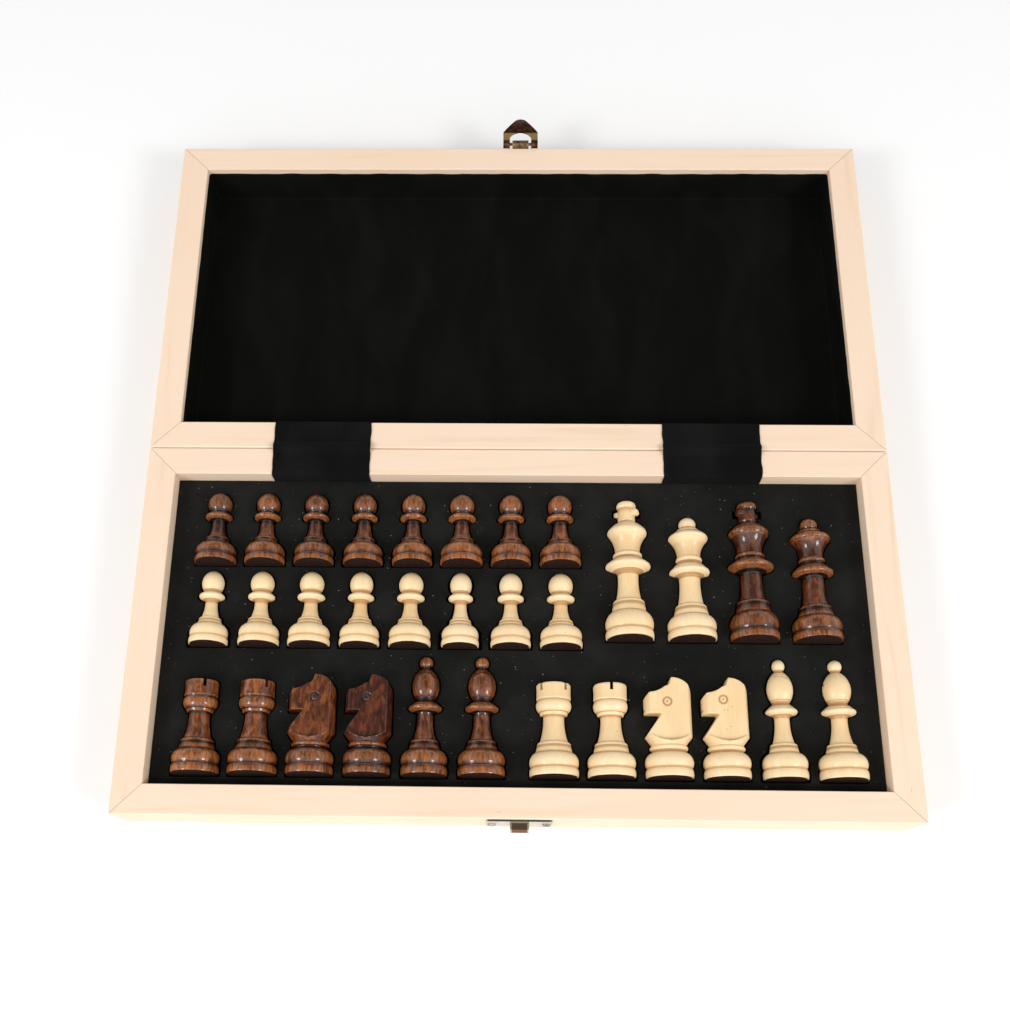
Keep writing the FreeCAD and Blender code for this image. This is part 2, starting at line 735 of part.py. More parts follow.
def profile_height(profile):
    return max(move[-1] for move in profile)


def silhouette(profile):
    """Half of a turned man's outline as a face in the XZ plane, without its hollow top."""
    moves, height = [], profile[0][1]
    for move in profile[1:]:
        if move[-1] > height:
            moves.append(move)
            height = move[-1]
    edges, at = profile_edges(profile[0], moves)
    foot_rim = Vector(profile[0][0], 0, 0)
    edges.insert(0, Part.LineSegment(foot_rim, Vector(profile[0][0], 0, profile[0][1])).toShape())
    top, bottom = Vector(0, 0, height), Vector(0, 0, 0)
    edges.append(Part.LineSegment(at, top).toShape())
    edges.append(Part.LineSegment(top, bottom).toShape())
    edges.append(Part.LineSegment(bottom, foot_rim).toShape())
    return Part.Face(Part.Wire(edges))


def silhouette_slab(profile):
    half = silhouette(profile)
    other = half.mirror(Vector(0, 0, 0), X_AXIS)
    return fuse_all([half.extrude(Y_AXIS), other.extrude(Y_AXIS)])


def pocket_outline(kind):
    """A man's whole outline in the XZ plane, let out all round by the clearance."""
    slab = silhouette_slab(kind["profile"])
    if kind is KNIGHT:
        head = slab.common(knight_side().extrude(Y_AXIS))
        slab = fuse_all([silhouette_slab(knight_foot), head])
    outline = [face for face in slab.Faces if face.BoundBox.YMax < same_place]
    return Part.Face(outline[0].OuterWire.makeOffset2D(man_clearance))


def pocket(man):
    """The pocket in the foam that a man lies in, down to just under its lowest point."""
    name, kind, x, foot_y, spin = man
    depth = widest(kind["profile"]) + man_floor_clearance
    face = pocket_outline(kind)
    face.rotate(Vector(0, 0, 0), X_AXIS, -90)
    face.translate(Vector(x, foot_y, man_axis_z - depth))
    hole = face.extrude(Vector(0, 0, half_height - man_axis_z + depth))
    if kind is KING:
        reach, low = cross_reach + man_clearance, foot_y + cross_arm_low - man_clearance
        high = low + cross_arm_height + 2 * man_clearance
        hole = hole.fuse(block(x - reach, x + reach, low, high, man_axis_z - depth, half_height))
    return hole


def make_foam_tray(men):
    c = foam_wall_clearance
    tray = block(-inner_half_width + c, inner_half_width - c, -wall_at_latch + c,
                 -wall_at_seam - c, panel_thickness, foam_top)
    save("foam_tray", tray.cut(Part.makeCompound([pocket(man) for man in men])))


# ---- the men and where they lie ----------------------------------------------------------
KING = {"profile": king_profile, "wood": king_wood}
QUEEN = {"profile": queen_profile, "wood": lambda: turned(queen_profile)}
BISHOP = {"profile": bishop_profile, "wood": bishop_wood}
ROOK = {"profile": rook_profile, "wood": rook_wood}
PAWN = {"profile": pawn_profile, "wood": lambda: turned(pawn_profile)}
KNIGHT = {"profile": knight_profile, "wood": knight_wood}


def all_men():
    """Each man's name, kind, place across, foot and turn."""
    men = []
    for i in range(pawn_count):
        x = pawn_start_x + i * pawn_pitch
        men.append(("brown_pawn_%d" % (i + 1), PAWN, x, brown_pawn_foot_y, 0))
        men.append(("white_pawn_%d" % (i + 1), PAWN, x, white_pawn_foot_y, 0))
    royals = (("white_king", KING), ("white_queen", QUEEN), ("brown_king", KING),
              ("brown_queen", QUEEN))
    for i, ((name, kind), spin) in enumerate(zip(royals, royal_turns)):
        men.append((name, kind, royal_start_x + i * royal_pitch, royal_foot_y, spin))
    row = (("rook_1", ROOK), ("rook_2", ROOK), ("knight_1", KNIGHT), ("knight_2", KNIGHT),
           ("bishop_1", BISHOP), ("bishop_2", BISHOP))
    for colour, start, turns in (("brown", brown_piece_start_x, brown_piece_turns),
                                 ("white", white_piece_start_x, white_piece_turns)):
        for i, ((name, kind), spin) in enumerate(zip(row, turns)):
            men.append((colour + "_" + name, kind, start + i * piece_pitch, piece_foot_y, spin))
    return men


def make_man(man):
    name, kind, x, foot_y, spin = man
    wood = lay_down(kind["wood"](), x, foot_y, spin)
    felt = lay_down(felt_disc(kind["profile"]), x, foot_y, spin)
    save(name, wood, felt)


def main():
    os.makedirs("parts", exist_ok=True)
    men = all_men()
    make_half(-1, "base")
    make_half(1, "lid")
    make_lid_lining()
    make_foam_tray(men)
    make_hinges()
    make_strap("left_strap", -hinge_offset)
    make_strap("right_strap", hinge_offset)
    make_latch_plate()
    make_hasp()
    make_latch_pin()
    make_catch_plate()
    for man in men:
        make_man(man)


main()
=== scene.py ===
import json
import math

import bmesh
import bpy
import numpy as np
from mathutils import Matrix, Vector, noise


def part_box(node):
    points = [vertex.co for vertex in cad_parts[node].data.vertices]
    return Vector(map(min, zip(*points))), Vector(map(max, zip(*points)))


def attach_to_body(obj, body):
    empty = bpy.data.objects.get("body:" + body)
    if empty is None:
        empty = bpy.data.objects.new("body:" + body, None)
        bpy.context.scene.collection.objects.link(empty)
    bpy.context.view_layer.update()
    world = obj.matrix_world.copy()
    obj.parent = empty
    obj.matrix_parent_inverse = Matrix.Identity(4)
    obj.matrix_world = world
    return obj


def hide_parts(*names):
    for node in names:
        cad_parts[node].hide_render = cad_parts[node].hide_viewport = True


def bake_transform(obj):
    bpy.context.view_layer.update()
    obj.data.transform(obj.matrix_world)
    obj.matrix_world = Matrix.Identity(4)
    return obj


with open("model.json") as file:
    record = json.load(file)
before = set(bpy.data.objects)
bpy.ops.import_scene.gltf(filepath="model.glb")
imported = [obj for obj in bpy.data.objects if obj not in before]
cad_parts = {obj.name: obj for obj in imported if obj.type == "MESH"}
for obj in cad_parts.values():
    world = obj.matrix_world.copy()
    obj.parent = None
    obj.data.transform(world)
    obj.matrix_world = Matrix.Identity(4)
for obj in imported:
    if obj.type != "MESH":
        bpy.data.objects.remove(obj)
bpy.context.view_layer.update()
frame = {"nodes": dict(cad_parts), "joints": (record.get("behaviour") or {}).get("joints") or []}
NODES = frame["nodes"]

bl_info = {
    "name": "Folding chess set",
    "version": (1, 0, 0),
    "blender": (4, 5, 0),
    "location": "View3D > Sidebar > Chess set",
    "description": "Finishes and fine shapes for a folding chess box and its men",
    "category": "Object",
}

MM = 0.001
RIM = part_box("base_latch_rail")[1].z
PANEL_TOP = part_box("base_panel")[1].z
FOAM_LOW, FOAM_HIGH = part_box("foam_tray")
LINING_LOW, LINING_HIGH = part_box("lid_lining")
HINGE = Vector(next(j for j in frame["joints"] if j["name"] == "lid_hinge")["pos_m"])
HASP = Vector(next(j for j in frame["joints"] if j["name"] == "hasp_hinge")["pos_m"])


# ---- sizes and colours a user would change ---------------------------------------------
class ChessWood(bpy.types.PropertyGroup):
    """The bare wood of the box and the veneers of the board."""

    early: bpy.props.FloatVectorProperty(
        name="Early wood", description="Pale part of the box's grain", subtype="COLOR",
        default=(0.885, 0.690, 0.525))
    late: bpy.props.FloatVectorProperty(
        name="Late wood", description="Darker part of the box's grain", subtype="COLOR",
        default=(0.76, 0.53, 0.33))
    dark_square: bpy.props.FloatVectorProperty(
        name="Dark square", description="Stained veneer of the board", subtype="COLOR",
        default=(0.115, 0.042, 0.018))
    light_square: bpy.props.FloatVectorProperty(
        name="Light square", description="Clear veneer of the board", subtype="COLOR",
        default=(0.74, 0.53, 0.31))
    joint_width: bpy.props.FloatProperty(
        name="Joint width", description="Width of the dark line at a mitre", unit="LENGTH",
        default=0.14 * MM)


class ChessMen(bpy.types.PropertyGroup):
    """The turned and carved men."""

    segments: bpy.props.IntProperty(
        name="Segments", description="Facets round a turned man", default=56)
    corner: bpy.props.FloatProperty(
        name="Corner", description="Rounding of a turned corner", unit="LENGTH",
        default=0.13 * MM)
    wobble: bpy.props.FloatProperty(
        name="Wobble", description="Unevenness left by sanding", unit="LENGTH",
        default=0.07 * MM)
    felt: bpy.props.FloatProperty(
        name="Felt", description="Thickness of the felt under a man", unit="LENGTH",
        default=0.8 * MM)
    voxel: bpy.props.FloatProperty(
        name="Carving grain", description="Mesh size of the horses' heads", unit="LENGTH",
        default=0.34 * MM)


class ChessSoft(bpy.types.PropertyGroup):
    """Foam, lining and straps."""

    foam_round: bpy.props.FloatProperty(
        name="Foam edge", description="Rounding of the foam's cut edges", unit="LENGTH",
        default=0.35 * MM)
    lint: bpy.props.IntProperty(
        name="Lint", description="Specks of lint on the foam", default=900)
    cloth: bpy.props.FloatProperty(
        name="Cloth", description="Thickness of the lining and the straps", unit="LENGTH",
        default=0.45 * MM)


class ChessStage(bpy.types.PropertyGroup):
    """Camera, floor and lights."""

    lens: bpy.props.FloatProperty(
        name="Lens", description="Focal length in millimetres", default=36.4)
    shift: bpy.props.FloatVectorProperty(
        name="Shift", description="Lens shift, as a share of the width", size=2,
        default=(0.0301, 0.1485))
    place: bpy.props.FloatVectorProperty(
        name="Place", description="Where the camera stands", subtype="TRANSLATION",
        unit="LENGTH", default=(-0.01147, -0.25919, 0.51493))
    turn: bpy.props.FloatVectorProperty(
        name="Turn", description="How the camera is turned", subtype="EULER", unit="ROTATION",
        default=(math.radians(16.617), math.radians(0.831), math.radians(0.784)))
    box_light: bpy.props.FloatProperty(
        name="Box lights", description="Power of each side light in watts", default=9.0)
    sky: bpy.props.FloatProperty(
        name="Sky", description="Strength of the even light", default=0.93)


# ---- node trees ------------------------------------------------------------------------
class Wire:
    """One socket of a node tree, with Python's arithmetic: each sign adds its Math node."""

    def __init__(self, tree, socket):
        self.tree = tree
        self.socket = socket

    def out(self, name):
        return Wire(self.tree, self.socket.node.outputs[name])

    def maths(self, operation, *values, clamp=False):
        settings = {"operation": operation, "use_clamp": clamp}
        return self.tree.add("ShaderNodeMath", settings, *values)

    def __add__(self, other):
        return self.maths("ADD", self, other)

    def __radd__(self, other):
        return self.maths("ADD", other, self)

    def __sub__(self, other):
        return self.maths("SUBTRACT", self, other)

    def __rsub__(self, other):
        return self.maths("SUBTRACT", other, self)

    def __mul__(self, other):
        return self.maths("MULTIPLY", self, other)

    def __rmul__(self, other):
        return self.maths("MULTIPLY", other, self)

    def __truediv__(self, other):
        return self.maths("DIVIDE", self, other)

    def __rtruediv__(self, other):
        return self.maths("DIVIDE", other, self)

    def __pow__(self, other):
        return self.maths("POWER", self, other)

    def __mod__(self, other):
        return self.maths("FLOORED_MODULO", self, other)

    def __abs__(self):
        return self.maths("ABSOLUTE", self)

    def least(self, other):
        return self.maths("MINIMUM", self, other)

    def most(self, other):
        return self.maths("MAXIMUM", self, other)

    def floor(self):
        return self.maths("FLOOR", self)

    def sine(self):
        return self.maths("SINE", self)

    def cosine(self):
        return self.maths("COSINE", self)

    def unit(self):
        return self.maths("ADD", self, 0.0, clamp=True)

    def step(self, low, high):
        """0 below low, 1 above high and smooth between."""
        settings = {"interpolation_type": "SMOOTHSTEP"}
        return self.tree.add("ShaderNodeMapRange", settings, self, low, high, 0.0, 1.0)


class Tree:
    """A shader or geometry tree that nodes are added to in one way."""

    def __init__(self, tree):
        self.tree = tree

    def add(self, kind, settings=None, *values, **named):
        node = self.tree.nodes.new(kind)
        for key, value in (settings or {}).items():
            if key == "stops":
                set_stops(node.color_ramp, value)
            else:
                setattr(node, key, value)
        shown = [s for s in node.inputs if s.enabled]
        pairs = list(zip(shown, values))
        pairs += [(next(s for s in shown if s.name == key.replace("_", " ")), value)
                  for key, value in named.items()]
        for socket, value in pairs:
            self.feed(socket, value)
        return Wire(self, next((s for s in node.outputs if s.enabled), None))

    def feed(self, socket, value):
        if isinstance(value, Wire):
            self.tree.links.new(value.socket, socket)
        elif value is not None:
            socket.default_value = value

    # -- shader helpers --
    def place(self):
        return self.add("ShaderNodeTexCoord").out("Object")

    def parts(self, vector):
        split = self.add("ShaderNodeSeparateXYZ", None, vector)
        return split.out("X"), split.out("Y"), split.out("Z")

    def stretch(self, vector, scale, shift=(0, 0, 0)):
        moved = self.add("ShaderNodeVectorMath", {"operation": "ADD"}, vector, shift)
        return self.add("ShaderNodeVectorMath", {"operation": "MULTIPLY"}, moved, scale)

    def cloud(self, vector, detail=2.0, rough=0.5, warp=0.0):
        """Soft noise from 0 to 1."""
        return self.add("ShaderNodeTexNoise", None, Vector=vector, Scale=1.0, Detail=detail,
                        Roughness=rough, Distortion=warp)

    def cells(self, vector):
        return self.add("ShaderNodeTexVoronoi", None, Vector=vector, Scale=1.0).out("Distance")

    def mix(self, factor, first, second, blend="MIX"):
        node = self.tree.nodes.new("ShaderNodeMix")
        node.data_type = "RGBA"
        node.blend_type = blend
        for socket, value in zip((node.inputs[0], node.inputs[6], node.inputs[7]),
                                 (factor, rgba(first), rgba(second))):
            self.feed(socket, value)
        return Wire(self, node.outputs[2])

    def ramp(self, factor, *stops):
        return self.add("ShaderNodeValToRGB", {"stops": stops}, factor)

    def bump(self, height, depth, strength=1.0, normal=None):
        return self.add("ShaderNodeBump", None, Strength=strength, Distance=depth,
                        Height=height, Normal=normal)

    def attribute(self, name):
        return self.add("ShaderNodeAttribute", {"attribute_name": name}).out("Fac")


def rgba(colour):
    if isinstance(colour, Wire):
        return colour
    return (colour[0], colour[1], colour[2], 1.0)


def set_stops(ramp, stops):
    while len(ramp.elements) < len(stops):
        ramp.elements.new(1.0)
    for element, (place, colour) in zip(ramp.elements, stops):
        element.position = place
        element.color = rgba(colour)


class Finish:
    """A material: constants go straight on its shader, and what varies is fed to it."""

    def __init__(self, name, **constants):
        self.material = bpy.data.materials.new(name)
        self.material.use_nodes = True
        self.tree = Tree(self.material.node_tree)
        self.shader = self.material.node_tree.nodes["Principled BSDF"]
        for key, value in constants.items():
            self.shader.inputs[key.replace("_", " ")].default_value = value

    def feed(self, **values):
        for key, value in values.items():
            self.tree.feed(self.shader.inputs[key.replace("_", " ")], value)
        return self.material


# ---- wood of the box ---------------------------------------------------------------------
def grain_axes(along, long, wide):
    return (long, wide, wide) if along == "X" else (wide, long, wide)


def mitre_line(tree, width):
    """1 on the thin dark lines where the rails meet at their mitres."""
    x, y, z = tree.parts(tree.place())
    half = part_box("base_left_rail")[0].x * -1
    side, depth = abs(x), abs(y)
    outer = abs(side - depth)
    inner = abs(side + depth - half)
    nearest = outer.least(inner)
    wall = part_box("base_left_rail")[1].x * -1
    return (1 - nearest.step(width * 0.5, width * 1.6)) * side.step(wall - 0.2 * MM, wall)


def panel_line(tree):
    """1 on the glue line between a rail and its panel."""
    x, y, z = tree.parts(tree.place())
    return 1 - abs(z - PANEL_TOP).step(0.05 * MM, 0.16 * MM)


def bare_pine(name, along, shift, wood):
    finish = Finish(name, Roughness=0.58, Specular_IOR_Level=0.32)
    tree = finish.tree
    place = tree.place()
    drift = tree.cloud(tree.stretch(place, grain_axes(along, 4.5, 26.0), shift), 2.0, 0.5)
    bands = tree.cloud(tree.stretch(place, grain_axes(along, 7.0, 210.0), shift), 3.0, 0.6, 0.3)
    fibres = tree.cloud(tree.stretch(place, grain_axes(along, 60.0, 2600.0), shift), 2.0, 0.6)
    x, y, z = tree.parts(place)
    across = (y if along == "X" else x) + z * 0.6
    rings = ((across * 260.0 + drift * 15.0) * 2.0).sine() * 0.5 + 0.5
    late = (rings ** 5.0) * bands.step(0.38, 0.72) * 0.75
    colour = tree.mix((late * 0.5 + fibres.step(0.35, 0.8) * 0.16).unit(), wood.early, wood.late)
    blush = tree.cloud(tree.stretch(place, (9.0, 9.0, 9.0), shift), 2.0)
    colour = tree.mix(blush.step(0.4, 0.75) * 0.16, colour, (0.80, 0.53, 0.37))
    flecks = tree.cells(tree.stretch(place, grain_axes(along, 55.0, 420.0), shift))
    spots = tree.cloud(tree.stretch(place, (23.0, 23.0, 23.0), shift), 2.0)
    fleck = (1 - flecks.step(0.03, 0.12)) * spots.step(0.60, 0.66)
    colour = tree.mix(fleck * 0.5, colour, (0.30, 0.16, 0.08))
    seam = mitre_line(tree, wood.joint_width).most(panel_line(tree) * 0.8)
    colour = tree.mix(seam * 0.8, colour, (0.16, 0.09, 0.05))
    # painted shade: the bare walls inside the box, below the sanded rim, are painted darker
    inside = (1 - z.step(RIM - 1.3 * MM, RIM - 0.5 * MM)) * inner_wall(tree)
    colour = tree.mix(inside * 0.12, colour, (0.62, 0.44, 0.28))
    height = bands * 0.5 + fibres * 0.5
    return finish.feed(Base_Color=colour, Roughness=0.5 + fibres * 0.18,
                       Normal=tree.bump(height, 0.09 * MM, 0.5))


def inner_wall(tree):
    """1 on the walls that face into the box."""
    x, y, z = tree.parts(tree.place())
    wall_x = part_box("base_right_rail")[0].x
    wall_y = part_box("base_latch_rail")[1].y * -1
    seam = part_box("base_hinge_rail")[0].y * -1
    near = 0.06 * MM
    side = abs(abs(x) - wall_x)
    ends = abs(abs(y) - wall_y).least(abs(abs(y) - seam))
    return 1 - side.least(ends).step(near, near * 3.0)


def board_veneer(name, pale, dark, along, shift, contrast):
    """Veneer under satin lacquer, on the playing side."""
    finish = Finish(name, Roughness=0.36, Coat_Weight=0.25, Coat_Roughness=0.18)
    tree = finish.tree
    place = tree.place()
    bands = tree.cloud(tree.stretch(place, grain_axes(along, 9.0, 170.0), shift), 4.0, 0.6, 0.4)
    fibres = tree.cloud(tree.stretch(place, grain_axes(along, 70.0, 2100.0), shift), 2.0)
    pores = tree.cells(tree.stretch(place, grain_axes(along, 130.0, 1500.0), shift))
    colour = tree.mix(bands.step(0.3, 0.75) * contrast, pale, dark)
    colour = tree.mix((1 - pores.step(0.05, 0.22)) * 0.35, colour, dark)
    x, y, z = tree.parts(place)
    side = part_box("base_light_squares")[1].x * 2 / 8
    gap = 0.11 * MM
    to_x = abs((x / side + 0.5) % 1.0 - 0.5) * side
    to_y = abs(((abs(y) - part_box("base_light_squares")[1].y * -1) / side + 0.5) % 1.0 - 0.5) * side
    seam = 1 - to_x.least(to_y).step(gap, gap * 2.4)
    colour = tree.mix(seam * 0.75, colour, (0.03, 0.015, 0.008))
    height = fibres * 0.4 + pores * 0.2 - seam * 0.8
    return finish.feed(Base_Color=colour, Roughness=0.32 + bands * 0.16,
                       Normal=tree.bump(height, 0.05 * MM, 0.5))


# ---- cloth and foam -----------------------------------------------------------------------
def flock(name, colour, glow, sheen):
    """Short-pile black cloth with faint brushed patches."""
    finish = Finish(name, Roughness=0.95, Specular_IOR_Level=0.02, Sheen_Weight=sheen,
                    Sheen_Roughness=0.45)
    tree = finish.tree
    place = tree.place()
    pile = tree.cloud(tree.stretch(place, (3800.0, 3800.0, 3800.0)), 2.0, 0.6)
    brushed = tree.cloud(tree.stretch(place, (46.0, 15.0, 40.0)), 3.0, 0.55, 0.6)
    shade = tree.mix((brushed.step(0.35, 0.75) * 0.6 + pile * 0.4).unit(), colour, glow)
    return finish.feed(Base_Color=shade, Roughness=0.86 + pile * 0.14,
                       Normal=tree.bump(pile * 0.7 + brushed * 0.5, 0.16 * MM, 0.55))


def foam_finish():
    """Closed-cell foam with a fine skin and pressed-in streaks."""
    finish = Finish("foam_skin", Roughness=0.8, Specular_IOR_Level=0.05)
    tree = finish.tree
    place = tree.place()
    cells = tree.cells(tree.stretch(place, (1700.0, 1700.0, 1700.0)))
    grain = tree.cloud(tree.stretch(place, (950.0, 950.0, 950.0)), 3.0, 0.65)
    worn = tree.cloud(tree.stretch(place, (34.0, 34.0, 34.0)), 3.0, 0.6)
    colour = tree.mix(worn.step(0.3, 0.8), (0.0085, 0.0085, 0.0078), (0.0165, 0.0165, 0.0150))
    colour = tree.mix(grain.step(0.58, 0.78) * 0.35, colour, (0.034, 0.034, 0.032))
    return finish.feed(Base_Color=colour, Roughness=0.70 + grain * 0.25,
                       Normal=tree.bump(cells * 0.5 + grain * 0.7, 0.10 * MM, 0.6))


def felt_finish():
    finish = Finish("man_felt", Roughness=0.95, Specular_IOR_Level=0.04)
    tree = finish.tree
    place = tree.place()
    fuzz = tree.cloud(tree.stretch(place, (1900.0, 1900.0, 1900.0)), 3.0, 0.7)
    hair = tree.cloud(tree.stretch(place, (500.0, 1500.0, 2500.0)), 2.0, 0.5, 2.0)
    colour = tree.mix(fuzz.step(0.35, 0.7), (0.012, 0.0060, 0.0048), (0.040, 0.020, 0.015))
    return finish.feed(Base_Color=colour, Normal=tree.bump(fuzz + hair * 0.6, 0.2 * MM, 0.7))


def lint_finish():
    finish = Finish("lint", Roughness=0.9)
    tree = finish.tree
    tint = tree.cloud(tree.stretch(tree.place(), (300.0, 300.0, 300.0)), 1.0)
    return finish.feed(Base_Color=tree.mix(tint.step(0.35, 0.65), (0.20, 0.21, 0.22),
                                           (0.80, 0.78, 0.72)))


# ---- finishes of the men --------------------------------------------------------------------
def brown_stain():
    """Stained and varnished hardwood: mottled, with dark pores, and painted shade that turns its grooves
    near-black.
    """
    finish = Finish("brown_stain", Coat_Weight=0.80, Coat_Roughness=0.085, Coat_IOR=1.5,
                    Specular_IOR_Level=0.22)
    tree = finish.tree
    place = tree.place()
    tone = tree.attribute("tone")
    groove = tree.attribute("groove")
    blotch = tree.cloud(tree.stretch(place, (260.0, 120.0, 260.0)), 5.0, 0.62, 0.8)
    figure = tree.cloud(tree.stretch(place, (1100.0, 170.0, 1100.0)), 4.0, 0.65, 0.3)
    pores = tree.cells(tree.stretch(place, (1500.0, 330.0, 1500.0)))
    pore = (1 - pores.step(0.12, 0.40)) * figure.step(0.34, 0.60)
    amount = (blotch.step(0.34, 0.66) * 0.66 + figure.step(0.34, 0.70) * 0.34).unit()
    red = tree.ramp(amount, (0.0, (0.012, 0.0024, 0.0011)), (0.5, (0.060, 0.0115, 0.0034)),
                    (1.0, (0.165, 0.040, 0.0110)))
    gold = tree.ramp(amount, (0.0, (0.045, 0.0110, 0.0030)), (0.45, (0.185, 0.048, 0.0120)),
                     (1.0, (0.455, 0.150, 0.0390)))
    colour = tree.mix(tone, red, gold)
    colour = tree.mix(pore * 0.42, colour, (0.020, 0.0055, 0.0025))
    # painted shade: the deeper a point lies in a groove, a saw cut or a carved hollow, the nearer its colour
    # goes to black
    colour = tree.mix(groove.step(0.01, 0.24) * 0.93, colour, (0.0050, 0.0015, 0.0010))
    worn = (0 - groove).step(0.03, 0.30) * figure.step(0.30, 0.62)
    colour = tree.mix(worn * 0.45, colour, (0.50, 0.19, 0.055))
    height = pore * -0.7 + figure * 0.3
    return finish.feed(Base_Color=colour, Roughness=(0.34 + figure * 0.22).unit(),
                       Normal=tree.bump(height, 0.05 * MM, 0.55))


def white_varnish():
    """Pale hardwood under satin varnish, with painted shade as fine tan lines in its grooves, and a few
    specks.
    """
    finish = Finish("white_varnish", Coat_Weight=0.30, Coat_Roughness=0.16,
                    Specular_IOR_Level=0.25)
    tree = finish.tree
    place = tree.place()
    tone = tree.attribute("tone")
    groove = tree.attribute("groove")
    soft = tree.cloud(tree.stretch(place, (120.0, 40.0, 120.0)), 3.0, 0.55, 0.4)
    grain = tree.cloud(tree.stretch(place, (1300.0, 95.0, 1300.0)), 3.0, 0.6)
    specks = tree.cells(tree.stretch(place, (420.0, 300.0, 420.0)))
    rare = tree.cloud(tree.stretch(place, (95.0, 95.0, 95.0)), 2.0)
    colour = tree.mix(soft.step(0.35, 0.68), (0.90, 0.675, 0.375), (0.84, 0.565, 0.270))
    colour = tree.mix(tone * 0.45, colour, (0.90, 0.69, 0.43))
    colour = tree.mix(grain.step(0.42, 0.8) * 0.26, colour, (0.70, 0.43, 0.185))
    # painted shade: grooves, saw cuts and carved hollows are painted tan
    colour = tree.mix(groove.step(0.02, 0.26) * 0.72, colour, (0.40, 0.18, 0.055))
    colour = tree.mix((0 - groove).step(0.05, 0.3) * 0.35, colour, (0.96, 0.80, 0.56))
    speck = (1 - specks.step(0.06, 0.14)) * rare.step(0.60, 0.66)
    colour = tree.mix(speck * 0.65, colour, (0.22, 0.12, 0.06))
    return finish.feed(Base_Color=colour, Roughness=(0.36 + grain * 0.16).unit(),
                       Normal=tree.bump(grain, 0.035 * MM, 0.5))


# ---- metal finishes ---------------------------------------------------------------------------
def plated(name, bright, dull, rough, tarnish):
    """Plated metal with dull patches and fine scratches."""
    finish = Finish(name, Metallic=1.0)
    tree = finish.tree
    place = tree.place()
    patch = tree.cloud(tree.stretch(place, (260.0, 260.0, 260.0)), 3.0, 0.6)
    scratch = tree.cloud(tree.stretch(place, (4200.0, 500.0, 4200.0)), 2.0)
    colour = tree.mix((patch.step(0.35, 0.7) * tarnish).unit(), bright, dull)
    return finish.feed(Base_Color=colour, Roughness=(rough + scratch * 0.22).unit(),
                       Normal=tree.bump(scratch, 0.02 * MM, 0.5))


def catch_finish():
    """Nickel on the plate, worn bronze on its hook, and a painted shadow along the plate's top edge."""
    finish = Finish("catch_nickel", Metallic=1.0)
    tree = finish.tree
    place = tree.place()
    x, y, z = tree.parts(place)
    patch = tree.cloud(tree.stretch(place, (420.0, 420.0, 420.0)), 3.0, 0.65)
    plate_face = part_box("base_panel")[0].y - 1.3 * MM
    hook = 1 - (y - plate_face).step(-0.5 * MM, 0.2 * MM)
    # painted shadow: a dark band just under the plate's top edge
    painted_top_shadow = (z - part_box("catch_plate")[1].z).step(-0.9 * MM, -0.3 * MM)
    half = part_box("latch_hasp")[1].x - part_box("latch_hasp")[0].x
    rubbed = hook * abs(x - HASP.x).step(half * 0.17, half * 0.21)
    colour = tree.mix(patch.step(0.35, 0.7) * 0.5, (0.66, 0.62, 0.55), (0.36, 0.32, 0.26))
    colour = tree.mix(hook, colour, (0.20, 0.12, 0.075))
    colour = tree.mix(rubbed, colour, (0.70, 0.62, 0.45))
    colour = tree.mix(painted_top_shadow * 0.85, colour, (0.045, 0.030, 0.020))
    return finish.feed(Base_Color=colour, Roughness=0.30 + patch * 0.16,
                       Normal=tree.bump(patch, 0.03 * MM, 0.4))


def hasp_finish():
    """Antique bronze on the bell, and a painted highlight of bright brass on a band across the legs."""
    finish = Finish("hasp_bronze", Metallic=1.0)
    tree = finish.tree
    place = tree.place()
    x, y, z = tree.parts(place)
    reach = y - HASP.y
    patch = tree.cloud(tree.stretch(place, (420.0, 420.0, 420.0)), 3.0, 0.65)
    # painted highlight: the band of the legs that catches the light is coloured bright brass
    leg_highlight = reach.step(1.6 * MM, 2.4 * MM) * (1 - reach.step(5.6 * MM, 6.6 * MM))
    bronze = tree.mix(patch.step(0.35, 0.75), (0.055, 0.020, 0.012), (0.17, 0.075, 0.035))
    colour = tree.mix(leg_highlight, bronze, (0.86, 0.60, 0.26))
    return finish.feed(Base_Color=colour, Roughness=0.42 - leg_highlight * 0.14 + patch * 0.12,
                       Normal=tree.bump(patch, 0.03 * MM, 0.4))


# ---- mesh helpers ------------------------------------------------------------------------------
def link(obj):
    bpy.context.scene.collection.objects.link(obj)
    return obj


def new_object(name, vertices, faces, *materials):
    mesh = bpy.data.meshes.new(name)
    mesh.from_pydata([tuple(v) for v in vertices], [], faces)
    for material in materials:
        mesh.materials.append(material)
    return link(bpy.data.objects.new(name, mesh))


def baked(obj, name=None):
    """A plain mesh of the object as its modifiers show it. The object itself goes."""
    evaluated = obj.evaluated_get(bpy.context.evaluated_depsgraph_get())
    mesh = bpy.data.meshes.new_from_object(evaluated)
    label = name or obj.name
    bpy.data.objects.remove(obj)
    mesh.name = label
    return link(bpy.data.objects.new(label, mesh))


def tidy_normals(obj, smooth=True, weld=1e-6):
    bm = bmesh.new()
    bm.from_mesh(obj.data)
    bmesh.ops.remove_doubles(bm, verts=bm.verts, dist=weld)
    bmesh.ops.dissolve_degenerate(bm, edges=bm.edges, dist=weld)
    bmesh.ops.recalc_face_normals(bm, faces=bm.faces)
    for face in bm.faces:
        face.smooth = smooth
    bm.to_mesh(obj.data)
    bm.free()
    return obj


def crease_edges(obj, degrees):
    """Shade smooth, but for edges sharper than this."""
    obj.data.set_sharp_from_angle(angle=math.radians(degrees))
    return obj


